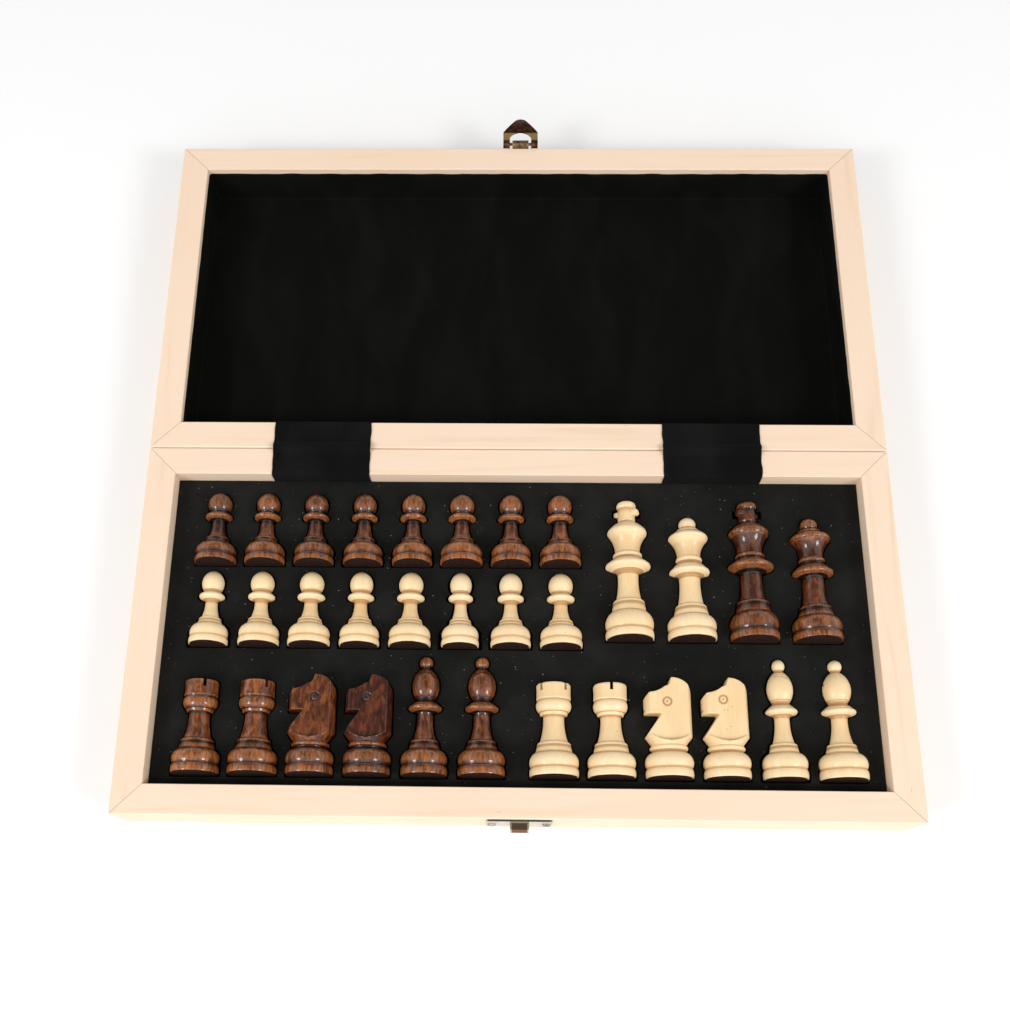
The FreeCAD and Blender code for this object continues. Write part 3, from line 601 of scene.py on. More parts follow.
def attach(objects, name):
    """Join plain meshes into one object."""
    bm = bmesh.new()
    materials = []
    for obj in objects:
        before = len(bm.faces)
        bm.from_mesh(obj.data)
        bm.faces.ensure_lookup_table()
        places = []
        for material in obj.data.materials:
            if material not in materials:
                materials.append(material)
            places.append(materials.index(material))
        for face in bm.faces[before:]:
            face.material_index = places[face.material_index] if places else 0
    mesh = bpy.data.meshes.new(name)
    bm.to_mesh(mesh)
    bm.free()
    for material in materials:
        mesh.materials.append(material)
    for obj in objects:
        bpy.data.objects.remove(obj)
    return link(bpy.data.objects.new(name, mesh))


def repaint(node, material):
    """Give a CAD node its finish."""
    slots = NODES[node].material_slots
    if not slots:
        NODES[node].data.materials.append(material)
    for item in slots:
        item.link = "OBJECT"
        item.material = material


def one_material(obj, material):
    obj.data.materials.clear()
    obj.data.materials.append(material)
    for polygon in obj.data.polygons:
        polygon.material_index = 0


def set_attribute(obj, name, values):
    layer = obj.data.attributes.get(name) or obj.data.attributes.new(name, "FLOAT", "POINT")
    layer.data.foreach_set("value", np.asarray(values, np.float32))


def box_cutter(name, low, high):
    bm = bmesh.new()
    bmesh.ops.create_cube(bm, size=1.0)
    middle, size = (Vector(low) + Vector(high)) / 2, Vector(high) - Vector(low)
    for vertex in bm.verts:
        vertex.co = Vector(a * b + c for a, b, c in zip(vertex.co, size, middle))
    mesh = bpy.data.meshes.new(name)
    bm.to_mesh(mesh)
    bm.free()
    return link(bpy.data.objects.new(name, mesh))


def rod(name, start, end, radius, sides=20):
    bm = bmesh.new()
    start, end = Vector(start), Vector(end)
    turn = (end - start).to_track_quat("Z", "Y").to_matrix().to_4x4()
    bmesh.ops.create_cone(bm, cap_ends=True, segments=sides, radius1=radius, radius2=radius,
                          depth=(end - start).length,
                          matrix=Matrix.Translation((start + end) / 2) @ turn)
    mesh = bpy.data.meshes.new(name)
    bm.to_mesh(mesh)
    bm.free()
    return link(bpy.data.objects.new(name, mesh))


def combine(obj, cutter, operation):
    """One exact boolean, baked. Both inputs go."""
    for item in (obj, cutter):
        tidy_normals(item)
    if obj.data.materials:
        one_material(cutter, obj.data.materials[0])
    # Faces left by a cut are marked 0.8 deep in the groove attribute, so the men's finishes give them painted
    # shade.
    if obj.data.attributes.get("groove"):
        depth = 0.0 if operation == "UNION" else 0.8
        set_attribute(cutter, "groove", [depth] * len(cutter.data.vertices))
    modifier = obj.modifiers.new("cut", "BOOLEAN")
    modifier.operation = operation
    modifier.solver = "MANIFOLD"
    modifier.object = cutter
    result = baked(obj)
    bpy.data.objects.remove(cutter)
    return result


# ---- profiles of the men ------------------------------------------------------------------------
# Radius and height above the table in millimetres: a pair is a straight line to that point, and
# four numbers are an arc through the first point to the second.
FOOT_START = 0.8


def foot(band, band_top, groove, bulge, bulge_height, shoulder, shoulder_height):
    middle = (FOOT_START + band_top) / 2
    return [(band - 0.2, FOOT_START), (band, middle, band - 0.2, band_top),
            (groove, band_top + 0.6), (groove, band_top + 1.0),
            (bulge, bulge_height, shoulder, shoulder_height)]


PROFILES = {
    "king": foot(12.3, 4.5, 11.6, 12.15, 10.0, 9.2, 14.9) + [
        (8.7, 15.4), (8.15, 19.8), (7.9, 20.8, 6.8, 21.5),
        (6.5, 21.9), (5.5, 27.6, 5.35, 35.4), (5.6, 36.6),
        (10.4, 38.6), (11.6, 39.9, 10.8, 41.4), (7.4, 44.3),
        (6.7, 44.6), (6.7, 45.0), (7.5, 46.1, 6.7, 47.3),
        (6.3, 47.6), (6.3, 48.2), (7.3, 53.2, 9.7, 57.4), (10.2, 58.9, 9.2, 60.8),
        (7.2, 62.9, 4.7, 64.5), (4.2, 64.8), (4.2, 65.4), (4.5, 66.0), (4.35, 72.4),
        (5.1, 74.2, 4.5, 75.8), (3.1, 76.5, 1.2, 76.7), (0, 76.7)],
    "queen": foot(12.3, 4.2, 11.75, 12.2, 9.0, 9.4, 13.0) + [
        (8.9, 13.5), (8.1, 17.4), (7.8, 18.4, 6.8, 19.1),
        (6.5, 19.6), (5.55, 25.6, 5.35, 33.6), (5.6, 34.9),
        (9.6, 36.0), (10.3, 37.1, 9.5, 38.4), (6.6, 41.8),
        (6.0, 42.2), (6.0, 42.8), (6.7, 44.0, 6.0, 45.2),
        (5.9, 45.9), (6.9, 50.6, 9.5, 54.6), (10.15, 56.0, 9.2, 57.5),
        (7.4, 59.0), (6.6, 59.2), (5.9, 60.4, 4.3, 61.4), (3.7, 61.8),
        (4.4, 64.2, 2.6, 67.2), (1.8, 67.7, 0.9, 67.9), (0, 67.9)],
    "bishop": foot(11.65, 4.6, 11.0, 11.55, 9.4, 8.5, 13.3) + [
        (7.75, 13.9), (7.1, 16.9), (6.8, 17.8, 5.85, 18.3),
        (5.6, 18.8), (4.25, 24.6, 3.95, 31.0), (4.25, 32.1),
        (7.65, 33.3), (8.4, 34.4, 7.65, 35.5), (5.1, 37.9),
        (4.55, 38.3), (4.65, 39.3), (5.1, 39.8), (6.85, 46.6, 2.5, 54.8),
        (2.2, 55.4), (3.4, 58.1, 1.85, 60.9), (1.3, 61.25, 0.7, 61.4), (0, 61.4)],
    "rook": foot(12.15, 4.2, 11.5, 12.1, 8.6, 9.6, 12.4) + [
        (9.0, 13.0), (8.4, 16.2), (8.1, 17.2, 7.1, 17.9),
        (6.9, 18.3), (5.5, 24.6, 5.25, 31.2),
        (6.7, 31.4), (7.0, 32.6), (8.8, 36.4, 8.3, 38.4), (8.1, 38.8),
        (8.6, 39.6), (8.5, 43.4, 8.6, 46.4), (8.2, 47.2), (5.6, 47.2), (5.2, 44.4), (0, 44.0)],
    "pawn": foot(10.8, 3.7, 10.2, 10.45, 7.6, 7.6, 11.2) + [
        (6.7, 11.8), (6.2, 13.6), (5.9, 14.5, 5.1, 15.0),
        (4.9, 15.3), (3.7, 19.4, 3.45, 24.2),
        (6.4, 25.4), (7.1, 26.4, 6.6, 27.5), (5.4, 28.4), (4.5, 29.2),
        (6.25, 34.2, 3.4, 39.4), (2.4, 40.05, 1.1, 40.3), (0, 40.3)],
    "knight": foot(11.7, 4.4, 11.1, 11.8, 9.2, 9.0, 13.0) + [
        (8.2, 13.5), (8.3, 14.1), (9.4, 15.2, 8.6, 16.4), (8.3, 17.0), (0, 17.0)],
    "knight_blank": [(8.3, 15.8), (8.5, 16.8), (11.7, 20.9), (11.7, 47.0), (8.5, 50.5), (0, 51.0)],
    "felt": [(11.3, 0.05), (11.5, 0.4, 11.3, 0.8), (0, 0.8)],
}
# The horse's side: ear, mane, chest, throat, jaw, mouth, nose and forehead.
HORSE = [(1.4, 50.4), (9.4, 46.9, 11.7, 38.0), (12.5, 15.8), (-12.5, 15.8), (-11.8, 20.4),
         (-3.6, 32.2), (-11.9, 32.2), (-12.1, 33.6), (-10.6, 34.4), (-12.1, 35.0),
         (-12.4, 37.2, -11.2, 41.0), (-9.6, 42.8), (-5.0, 43.9, -1.8, 45.9), (0.2, 46.6)]


def arc_points(a, b, c, step=0.55):
    """Points after a, up to c, on the circle through a, b and c."""
    (ax, ay), (bx, by), (cx, cy) = a, b, c
    d = 2 * (ax * (by - cy) + bx * (cy - ay) + cx * (ay - by))
    if abs(d) < 1e-9:
        return [c]
    a2, b2, c2 = ax * ax + ay * ay, bx * bx + by * by, cx * cx + cy * cy
    ux = (a2 * (by - cy) + b2 * (cy - ay) + c2 * (ay - by)) / d
    uy = (a2 * (cx - bx) + b2 * (ax - cx) + c2 * (bx - ax)) / d
    radius = math.hypot(ax - ux, ay - uy)
    start, end = math.atan2(ay - uy, ax - ux), math.atan2(cy - uy, cx - ux)
    turn = (end - start) % math.tau
    if d < 0:
        turn -= math.tau
    count = max(3, int(abs(turn) * radius / step), int(abs(turn) / 0.22))
    return [(ux + radius * math.cos(start + turn * i / count),
             uy + radius * math.sin(start + turn * i / count)) for i in range(1, count + 1)]


def trace(moves, line_step=None):
    """Points of a profile in millimetres, and whether each is a corner."""
    points, corners = [tuple(moves[0])], [1.0]
    for move in moves[1:]:
        at = points[-1]
        if len(move) == 2:
            length = math.dist(at, move)
            count = max(1, int(length / line_step)) if line_step else 1
            points += [tuple(p + (q - p) * i / count for p, q in zip(at, move))
                       for i in range(1, count + 1)]
            corners += [0.0] * (count - 1) + [1.0]
        else:
            arc = arc_points(at, move[:2], move[2:])
            points += arc
            corners += [0.0] * (len(arc) - 1) + [1.0]
    return points, corners


# ---- the lathe, as a geometry tree ------------------------------------------------------------------
def new_inputs(group, sockets):
    for name, kind in sockets:
        group.interface.new_socket(name, in_out="INPUT", socket_type="NodeSocket" + kind)
    group.interface.new_socket("Geometry", in_out="OUTPUT", socket_type="NodeSocketGeometry")


def set_inputs(modifier, values):
    for item in modifier.node_group.interface.items_tree:
        if item.in_out == "INPUT" and item.name in values:
            modifier[item.identifier] = values[item.name]


def lathe_tree():
    """Turns a profile curve about Z. Corners are eased, the skin is a little uneven, and each
    point keeps how deep it lies in a groove."""
    group = bpy.data.node_groups.new("Lathe", "GeometryNodeTree")
    new_inputs(group, [("Profile", "Object"), ("Segments", "Int"), ("Corner", "Float"),
                       ("Wobble", "Float"), ("Seed", "Float"), ("Material", "Material")])
    tree = Tree(group)
    given = tree.add("NodeGroupInput")
    curve = tree.add("GeometryNodeObjectInfo", None, given.out("Profile")).out("Geometry")
    radius = tree.add("GeometryNodeInputRadius") * given.out("Corner")
    curve = tree.add("GeometryNodeFilletCurve", {"mode": "POLY"}, Curve=curve, Count=2,
                     Radius=radius, Limit_Radius=True)
    count = tree.add("GeometryNodeAttributeDomainSize", {"component": "CURVE"}, curve)
    rows = count.out("Point Count")
    segments = given.out("Segments")
    grid = tree.add("GeometryNodeMeshGrid", None, 1.0, 1.0, segments + 1, rows).out("Mesh")
    index = tree.add("GeometryNodeInputIndex")
    column = (index / rows + 0.0001).floor()
    row = (index - column * rows + 0.5).floor()
    place = tree.add("GeometryNodeInputPosition")
    radial = tree.add("ShaderNodeSeparateXYZ", None, place).out("X")
    blurred = tree.add("GeometryNodeBlurAttribute", {"data_type": "FLOAT"}, radial, 9)
    depth = (blurred - radial) / (0.6 * MM)
    point = tree.add("GeometryNodeSampleIndex", {"data_type": "FLOAT_VECTOR"}, curve, place, row)
    groove = tree.add("GeometryNodeSampleIndex", {"data_type": "FLOAT"}, curve, depth, row)
    reach, side, height = tree.parts(point)
    angle = column / segments * math.tau
    seed = tree.add("ShaderNodeCombineXYZ", None, given.out("Seed"), 0.0, 0.0)
    ring = tree.add("ShaderNodeCombineXYZ", None, angle.cosine() * reach, angle.sine() * reach,
                    height)
    rough = tree.cloud(tree.add("ShaderNodeVectorMath", {"operation": "ADD"},
                                tree.stretch(ring, (160.0, 160.0, 110.0)), seed), 2.0)
    near_axis = (reach / MM).least(1.0)
    grown = reach + (rough - 0.5) * given.out("Wobble") * near_axis
    spot = tree.add("ShaderNodeCombineXYZ", None, angle.cosine() * grown, angle.sine() * grown,
                    height)
    body = tree.add("GeometryNodeSetPosition", None, Geometry=grid, Position=spot)
    body = tree.add("GeometryNodeStoreNamedAttribute", {"data_type": "FLOAT"}, Geometry=body,
                    Name="groove", Value=groove)
    body = tree.add("GeometryNodeMergeByDistance", None, Geometry=body, Distance=0.004 * MM)
    body = tree.add("GeometryNodeRealizeInstances", None, body)
    body = tree.add("GeometryNodeSetMaterial", None, Geometry=body,
                    Material=given.out("Material"))
    tree.add("NodeGroupOutput", None, body)
    return group


def profile_curve(name, moves):
    """A profile as a poly curve in the XZ plane. Its radius marks the corners to be eased."""
    points, corners = trace(moves)
    curve = bpy.data.curves.new(name, "CURVE")
    curve.dimensions = "3D"
    spline = curve.splines.new("POLY")
    spline.points.add(len(points) - 1)
    for item, (r, h), corner in zip(spline.points, points, corners):
        item.co = (r * MM, 0.0, h * MM, 1.0)
        item.radius = corner
    return link(bpy.data.objects.new(name, curve))


def turned(name, profile, material, seed, men):
    """A man's turned body standing on the table at the origin."""
    curve = profile_curve(name + "_profile", PROFILES[profile])
    start = PROFILES[profile][0]
    closing = curve.data.splines[0]
    closing.points.add(1)
    for i in range(len(closing.points) - 1, 0, -1):
        closing.points[i].co = closing.points[i - 1].co
        closing.points[i].radius = closing.points[i - 1].radius
    closing.points[0].co = (0.0, 0.0, start[1] * MM, 1.0)
    closing.points[0].radius = 0.0
    obj = new_object(name, [(0, 0, 0)], [], material)
    modifier = obj.modifiers.new("lathe", "NODES")
    modifier.node_group = bpy.data.node_groups.get("Lathe") or lathe_tree()
    set_inputs(modifier, {"Profile": curve, "Segments": men.segments, "Corner": men.corner,
                          "Wobble": men.wobble, "Seed": float(seed), "Material": material})
    body = baked(obj)
    bpy.data.objects.remove(curve)
    one_material(body, material)
    return tidy_normals(body, weld=3e-6)


def felt_disc(name, radius, material):
    points, corners = trace([(0.0, 0.04), (radius - 0.25, 0.04), (radius, 0.4, radius - 0.2, 0.8),
                             (0.0, 0.8)])
    sides = 48
    vertices, faces = [], []
    for r, h in points:
        for i in range(sides):
            a = math.tau * i / sides
            fray = 1 + 0.004 * math.sin(7 * a) + 0.003 * math.sin(13 * a + 1)
            vertices.append((r * fray * MM * math.cos(a), r * fray * MM * math.sin(a), h * MM))
    for j in range(len(points) - 1):
        for i in range(sides):
            k = (i + 1) % sides
            faces.append((j * sides + i, j * sides + k, (j + 1) * sides + k, (j + 1) * sides + i))
    disc = new_object(name, vertices, faces, material)
    return tidy_normals(disc)


# ---- carved details of the men --------------------------------------------------------------------
def with_cross(body, name, material):
    """The king's cross: two arms with rounded ends, and notches above and below them."""
    arms = box_cutter(name + "_arms", (-6.8 * MM, -2.2 * MM, 68.4 * MM),
                      (6.8 * MM, 2.2 * MM, 71.9 * MM))
    bevel = arms.modifiers.new("ends", "BEVEL")
    bevel.width = 1.3 * MM
    bevel.segments = 4
    arms = baked(arms)
    body = combine(body, arms, "UNION")
    for side in (-1, 1):
        for height, depth, radius in ((72.75, 5.0, 1.0), (67.5, 5.0, 1.1)):
            notch = rod(name + "_notch", (side * depth * MM, -7 * MM, height * MM),
                        (side * depth * MM, 7 * MM, height * MM), radius * MM)
            body = combine(body, notch, "DIFFERENCE")
    return body


def with_turret_slots(body, name):
    """Crossed saw cuts across a rook's turret."""
    for along_x in (True, False):
        x, y = (13.0, 0.85) if along_x else (0.85, 13.0)
        saw = box_cutter(name + "_saw", (-x * MM, -y * MM, 43.4 * MM), (x * MM, y * MM, 49 * MM))
        body = combine(body, saw, "DIFFERENCE")
    return body


def with_mitre_slot(body, name):
    """A slanting saw cut, from one side of a bishop's mitre to just past its axis."""
    saw = box_cutter(name + "_saw", (-0.45 * MM, -9 * MM, 0), (0.45 * MM, 9 * MM, 13 * MM))
    turn = Matrix.Rotation(math.radians(55), 4, "Y")
    saw.data.transform(Matrix.Translation((-1.5 * MM, 0, 47.8 * MM)) @ turn)
    return combine(body, saw, "DIFFERENCE")


EYES = {"brown_knight_1": (1.9, 38.9), "brown_knight_2": (-0.5, 38.7),
        "white_knight_1": (-0.9, 38.1), "white_knight_2": (-1.7, 39.3)}


def horse_outline():
    points, corners = trace(HORSE, line_step=2.0)
    return points


def horse_head(name, material, seed, men):
    """The head: a turned blank cut to the horse's side and flattened, then eased and carved."""
    blank = turned(name + "_blank", "knight_blank", material, seed, men)
    outline = horse_outline()
    deep = 14 * MM
    count = len(outline)
    vertices = [(x * MM, side * deep, h * MM) for side in (-1, 1) for x, h in outline]
    faces = [tuple(range(count)), tuple(range(2 * count - 1, count - 1, -1))]
    faces += [(i, (i + 1) % count, count + (i + 1) % count, count + i) for i in range(count)]
    side_cut = tidy_normals(new_object(name + "_side", vertices, faces), False)
    head = combine(blank, side_cut, "INTERSECT")
    for side in (-1, 1):
        head = combine(head, flat_cutter(name, side), "DIFFERENCE")
    remesh = head.modifiers.new("grain", "REMESH")
    remesh.mode = "VOXEL"
    remesh.voxel_size = men.voxel
    ease = head.modifiers.new("ease", "SMOOTH")
    ease.factor = 0.5
    ease.iterations = 3
    head = baked(head)
    one_material(head, material)
    carve_face(head, *EYES[name.replace("_head", "")])
    return tidy_normals(head)


def flat_cutter(name, side):
    """Takes one cheek off the blank, down to a smiling edge."""
    half, low, radius, top = 13.5, 18.3, 14.5, 56.0
    sag = radius - math.sqrt(radius ** 2 - half ** 2)
    points = [(half, low + sag), (half, top), (-half, top), (-half, low + sag)]
    arc = arc_points((-half, low + sag), (0.0, low), (half, low + sag))
    outline = points + arc[:-1]
    count = len(outline)
    levels = (side * 7.0 * MM, side * 16 * MM)
    vertices = [(x * MM, y, h * MM) for y in levels for x, h in outline]
    faces = [tuple(range(count)), tuple(range(2 * count - 1, count - 1, -1))]
    faces += [(i, (i + 1) % count, count + (i + 1) % count, count + i) for i in range(count)]
    return tidy_normals(new_object(name + "_cheek", vertices, faces), False)


def carve_face(head, eye_x, eye_height):
    """Eye ring with its pupil, and the nostril, pressed into both cheeks."""
    mesh = head.data
    co = np.zeros(len(mesh.vertices) * 3)
    mesh.vertices.foreach_get("co", co)
    co = co.reshape(-1, 3) / MM
    cheek = np.abs(co[:, 1]) > 6.5
    side = np.sign(co[:, 1])
    depth = np.zeros(len(co))
    eye = np.hypot(co[:, 0] - eye_x, co[:, 2] - eye_height)
    depth += 0.42 * np.exp(-((eye - 2.0) / 0.34) ** 2)
    depth += 0.30 * np.exp(-((np.hypot((co[:, 0] - eye_x) * 1.5, co[:, 2] - eye_height)) / 0.5) ** 2)
    nostril = np.hypot((co[:, 0] + 10.2), (co[:, 2] - 39.2) * 1.4)
    depth += 0.18 * np.exp(-(nostril / 0.5) ** 2)
    depth *= cheek
    co[:, 1] -= side * depth
    mesh.vertices.foreach_set("co", (co * MM).ravel())
    # The eye ring, pupil and nostril are marked as grooves, so the finishes paint painted shade into these
    # hollows.
    set_attribute(head, "groove", np.clip(depth * 2.2, 0, 1))


# ---- the men and where they lie ---------------------------------------------------------------------
def white_or_brown(name):
    return name.split("_")[0]


BROWN_TONES = {"pawn": (0.05, 0.50, 0.12, 0.40, 0.60, 0.72, 0.55, 0.78), "king": (0.18,),
               "queen": (0.45,), "rook": (0.80, 0.72), "knight": (0.42, 0.0),
               "bishop": (0.42, 0.55)}
TURNS = {"white_king": -32, "brown_king": 32, "brown_rook_1": 24, "brown_rook_2": 42,
         "white_rook_1": 42, "brown_bishop_1": -100, "brown_bishop_2": -80,
         "white_bishop_1": -120, "white_bishop_2": 90}
SLIM = {"white_bishop_1": 0.93, "brown_rook_1": 0.97, "white_rook_2": 0.97,
        "brown_bishop_1": 0.985, "white_knight_2": 0.97, "white_pawn_1": 0.91,
        "white_pawn_2": 0.97, "white_pawn_4": 0.95, "white_pawn_6": 0.89,
        "white_pawn_7": 0.95, "brown_pawn_2": 0.97, "brown_pawn_3": 0.965,
        "brown_pawn_4": 0.955, "brown_pawn_5": 0.97, "brown_pawn_6": 1.03,
        "brown_pawn_7": 0.97}


def slimmed(obj, share):
    """Hand-turned men of a kind differ a little in girth."""
    obj.data.transform(Matrix.Diagonal((share, share, 1.0, 1.0)))
    return obj


def lay_down(obj, node, turn):
    """Turn a standing man about its axis, then lay it where its CAD node lies."""
    low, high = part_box(node)
    place = Vector(((low.x + high.x) / 2, low.y, (low.z + high.z) / 2))
    down = Matrix.Rotation(math.radians(-90), 4, "X")
    spin = Matrix.Rotation(math.radians(turn), 4, "Z")
    obj.data.transform(Matrix.Translation(place) @ down @ spin)
    return obj


def make_man(node, kind, number, wood, felt, men):
    seed = sum(ord(letter) for letter in node) * 1.37
    body = turned(node + "_body", kind, wood, seed, men)
    if kind == "king":
        body = with_cross(body, node, wood)
    if kind == "rook":
        body = with_turret_slots(body, node)
    if kind == "bishop":
        body = with_mitre_slot(body, node)
    pieces = [body]
    if kind == "knight":
        pieces.append(horse_head(node + "_head", wood, seed, men))
    radius = PROFILES[kind][0][0] - 0.5
    pieces.append(felt_disc(node + "_felt", radius, felt))
    man = attach(pieces, node + "_man")
    tones = BROWN_TONES[kind]
    if node.startswith("brown"):
        tone = tones[(number - 1) % len(tones)]
    else:
        tone = (seed * 0.618) % 1.0
    set_attribute(man, "tone", [tone] * len(man.data.vertices))
    for polygon in man.data.polygons:
        polygon.use_smooth = True
    crease_edges(man, 48)
    slimmed(man, SLIM.get(node, 1.0))
    lay_down(man, node, TURNS.get(node, 0))
    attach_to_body(man, node + "_body")
    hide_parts(node)
    return man


def men_nodes(kind):
    """(node, number) of every man of a kind."""
    found = []
    for node in sorted(NODES):
        words = node.split("_")
        if words[0] in ("brown", "white") and words[1] == kind:
            found.append((node, int(words[2]) if len(words) > 2 else 1))
    return found


# ---- foam ---------------------------------------------------------------------------------------------
def top_outlines(node, level):
    """The closed outlines of a CAD node's flat top, as lists of (x, y)."""
    bm = bmesh.new()
    bm.from_mesh(NODES[node].data)
    bmesh.ops.remove_doubles(bm, verts=bm.verts, dist=1e-6)
    bm.normal_update()
    flat = {f for f in bm.faces if all(abs(v.co.z - level) < 1e-5 for v in f.verts)}
    rim = [e for e in bm.edges if sum(f in flat for f in e.link_faces) == 1]
    following = {}
    for edge in rim:
        a, b = edge.verts
        following.setdefault(a, []).append(b)
        following.setdefault(b, []).append(a)
    outlines = []
    while following:
        start = next(iter(following))
        loop, at = [start], start
        while following.get(at):
            after = following[at].pop()
            following[after].remove(at)
            if not following[at]:
                del following[at]
            if after is start:
                following.pop(after, None)
                break
            loop.append(after)
            at = after
        outlines.append([(v.co.x, v.co.y) for v in loop])
    bm.free()
    return outlines


def area(outline):
    return sum(a[0] * b[1] - b[0] * a[1] for a, b in zip(outline, outline[1:] + outline[:1])) / 2


def make_foam(soft):
    """A slab with its pockets cut through to a floor, edges eased and a little ragged."""
    outlines = sorted(top_outlines("foam_tray", FOAM_HIGH.z), key=lambda o: -abs(area(o)))
    floor = FOAM_LOW.z + 3.0 * MM
    curve = bpy.data.curves.new("foam_cut", "CURVE")
    curve.dimensions = "2D"
    curve.fill_mode = "BOTH"
    ease = soft.foam_round
    curve.extrude = (FOAM_HIGH.z - floor) / 2 - ease
    curve.bevel_depth = ease
    curve.bevel_resolution = 2
    curve.offset = -ease
    for number, outline in enumerate(outlines):
        if (area(outline) > 0) != (number == 0):
            outline = outline[::-1]
        spline = curve.splines.new("POLY")
        spline.points.add(len(outline) - 1)
        spline.use_cyclic_u = True
        for item, (x, y) in zip(spline.points, outline):
            ragged = noise.noise_vector(Vector((x, y, 0)) * 420) * (0.0 if number == 0 else 0.09)
            item.co = (x + ragged.x * MM, y + ragged.y * MM, 0.0, 1.0)
    obj = link(bpy.data.objects.new("foam_cut", curve))
    slab = baked(obj, "foam_slab")
    slab.data.transform(Matrix.Translation((0, 0, (FOAM_HIGH.z + floor) / 2)))
    under = box_cutter("foam_floor", FOAM_LOW, (FOAM_HIGH.x, FOAM_HIGH.y, floor + 0.2 * MM))
    return slab, under


# ---- lint and screws, as geometry trees -------------------------------------------------------------------
def lint_tree():
    """Scatters short bent hairs on a surface."""
    group = bpy.data.node_groups.new("Lint", "GeometryNodeTree")
    new_inputs(group, [("Surface", "Geometry"), ("Density", "Float"), ("Length", "Float"),
                       ("Seed", "Int"), ("Material", "Material")])
    tree = Tree(group)
    given = tree.add("NodeGroupInput")
    points = tree.add("GeometryNodeDistributePointsOnFaces", None, Mesh=given.out("Surface"),
                      Density=given.out("Density"), Seed=given.out("Seed"))
    hair = tree.add("GeometryNodeCurveArc", {"mode": "RADIUS"}, Resolution=5,
                    Radius=given.out("Length"), Sweep_Angle=1.4)
    shape = tree.add("GeometryNodeCurvePrimitiveCircle", {"mode": "RADIUS"}, Resolution=4,
                     Radius=given.out("Length") * 0.24)
    strand = tree.add("GeometryNodeCurveToMesh", None, Curve=hair, Profile_Curve=shape,
                      Fill_Caps=True)
    turn = tree.add("FunctionNodeRandomValue", {"data_type": "FLOAT_VECTOR"},
                    (0.0, 0.0, 0.0), (0.5, 0.5, 6.28), Seed=given.out("Seed"))
    size = tree.add("FunctionNodeRandomValue", {"data_type": "FLOAT"}, 0.25, 1.1, Seed=7)
    strands = tree.add("GeometryNodeInstanceOnPoints", None, Points=points, Instance=strand,
                       Rotation=turn, Scale=size)
    strands = tree.add("GeometryNodeRealizeInstances", None, strands)
    strands = tree.add("GeometryNodeSetMaterial", None, Geometry=strands,
                       Material=given.out("Material"))
    tree.add("NodeGroupOutput", None, strands)
    return group


def screws_tree():
    """Sets a screw head at every point of a mesh, all turned one way."""
    group = bpy.data.node_groups.new("Screws", "GeometryNodeTree")
    new_inputs(group, [("Points", "Geometry"), ("Head", "Object"), ("Turn", "Rotation"),
                       ("Seed", "Int"), ("Material", "Material")])
    tree = Tree(group)
    given = tree.add("NodeGroupInput")
    head = tree.add("GeometryNodeObjectInfo", None, given.out("Head")).out("Geometry")
    spots = tree.add("GeometryNodeMeshToPoints", None, Mesh=given.out("Points"))
    spin = tree.add("FunctionNodeRandomValue", {"data_type": "FLOAT"}, 0.0, math.tau,
                    Seed=given.out("Seed"))
    about = tree.add("ShaderNodeCombineXYZ", None, 0.0, 0.0, spin)
    heads = tree.add("GeometryNodeInstanceOnPoints", None, Points=spots, Instance=head,
                     Rotation=given.out("Turn"))
    heads = tree.add("GeometryNodeRotateInstances", None, Instances=heads, Rotation=about,
                     Local_Space=True)
    heads = tree.add("GeometryNodeRealizeInstances", None, heads)
    heads = tree.add("GeometryNodeSetMaterial", None, Geometry=heads,
                     Material=given.out("Material"))
    tree.add("NodeGroupOutput", None, heads)
    return group


def screw_head(name, radius, height, length, pan):
    """A cross-recessed head with its shank, pointing along +Z, seated at the origin."""
    if pan:
        outline = [(0, -length), (0.5, -length + 0.6), (0.85, -length + 1.4), (0.85, 0.0),
                   (radius, 0.0), (radius, height * 0.35),
                   (radius * 0.72, height * 0.93, 0.9, height), (0, height)]
    else:
        outline = [(0, -length), (0.5, -length + 0.6), (0.85, -length + 1.4), (0.85, -height),
                   (radius, -0.06), (radius - 0.05, 0.0), (0, 0.0)]
    points, corners = trace(outline)
    sides = 32
    vertices, faces = [], []
    for r, h in points:
        vertices += [(r * MM * math.cos(math.tau * i / sides),
                      r * MM * math.sin(math.tau * i / sides), h * MM) for i in range(sides)]
    for j in range(len(points) - 1):
        for i in range(sides):
            k = (i + 1) % sides
            faces.append((j * sides + i, j * sides + k, (j + 1) * sides + k, (j + 1) * sides + i))
    head = tidy_normals(new_object(name, vertices, faces))
    top = height if pan else 0.0
    reach, half, deep = radius * 0.62, 0.24, 0.62
    for x, y in ((reach, half), (half, reach)):
        recess = box_cutter(name + "_recess", (-x * MM, -y * MM, (top - deep) * MM),
                            (x * MM, y * MM, (top + 1) * MM))
        head = combine(head, recess, "DIFFERENCE")
    return crease_edges(tidy_normals(head), 40)


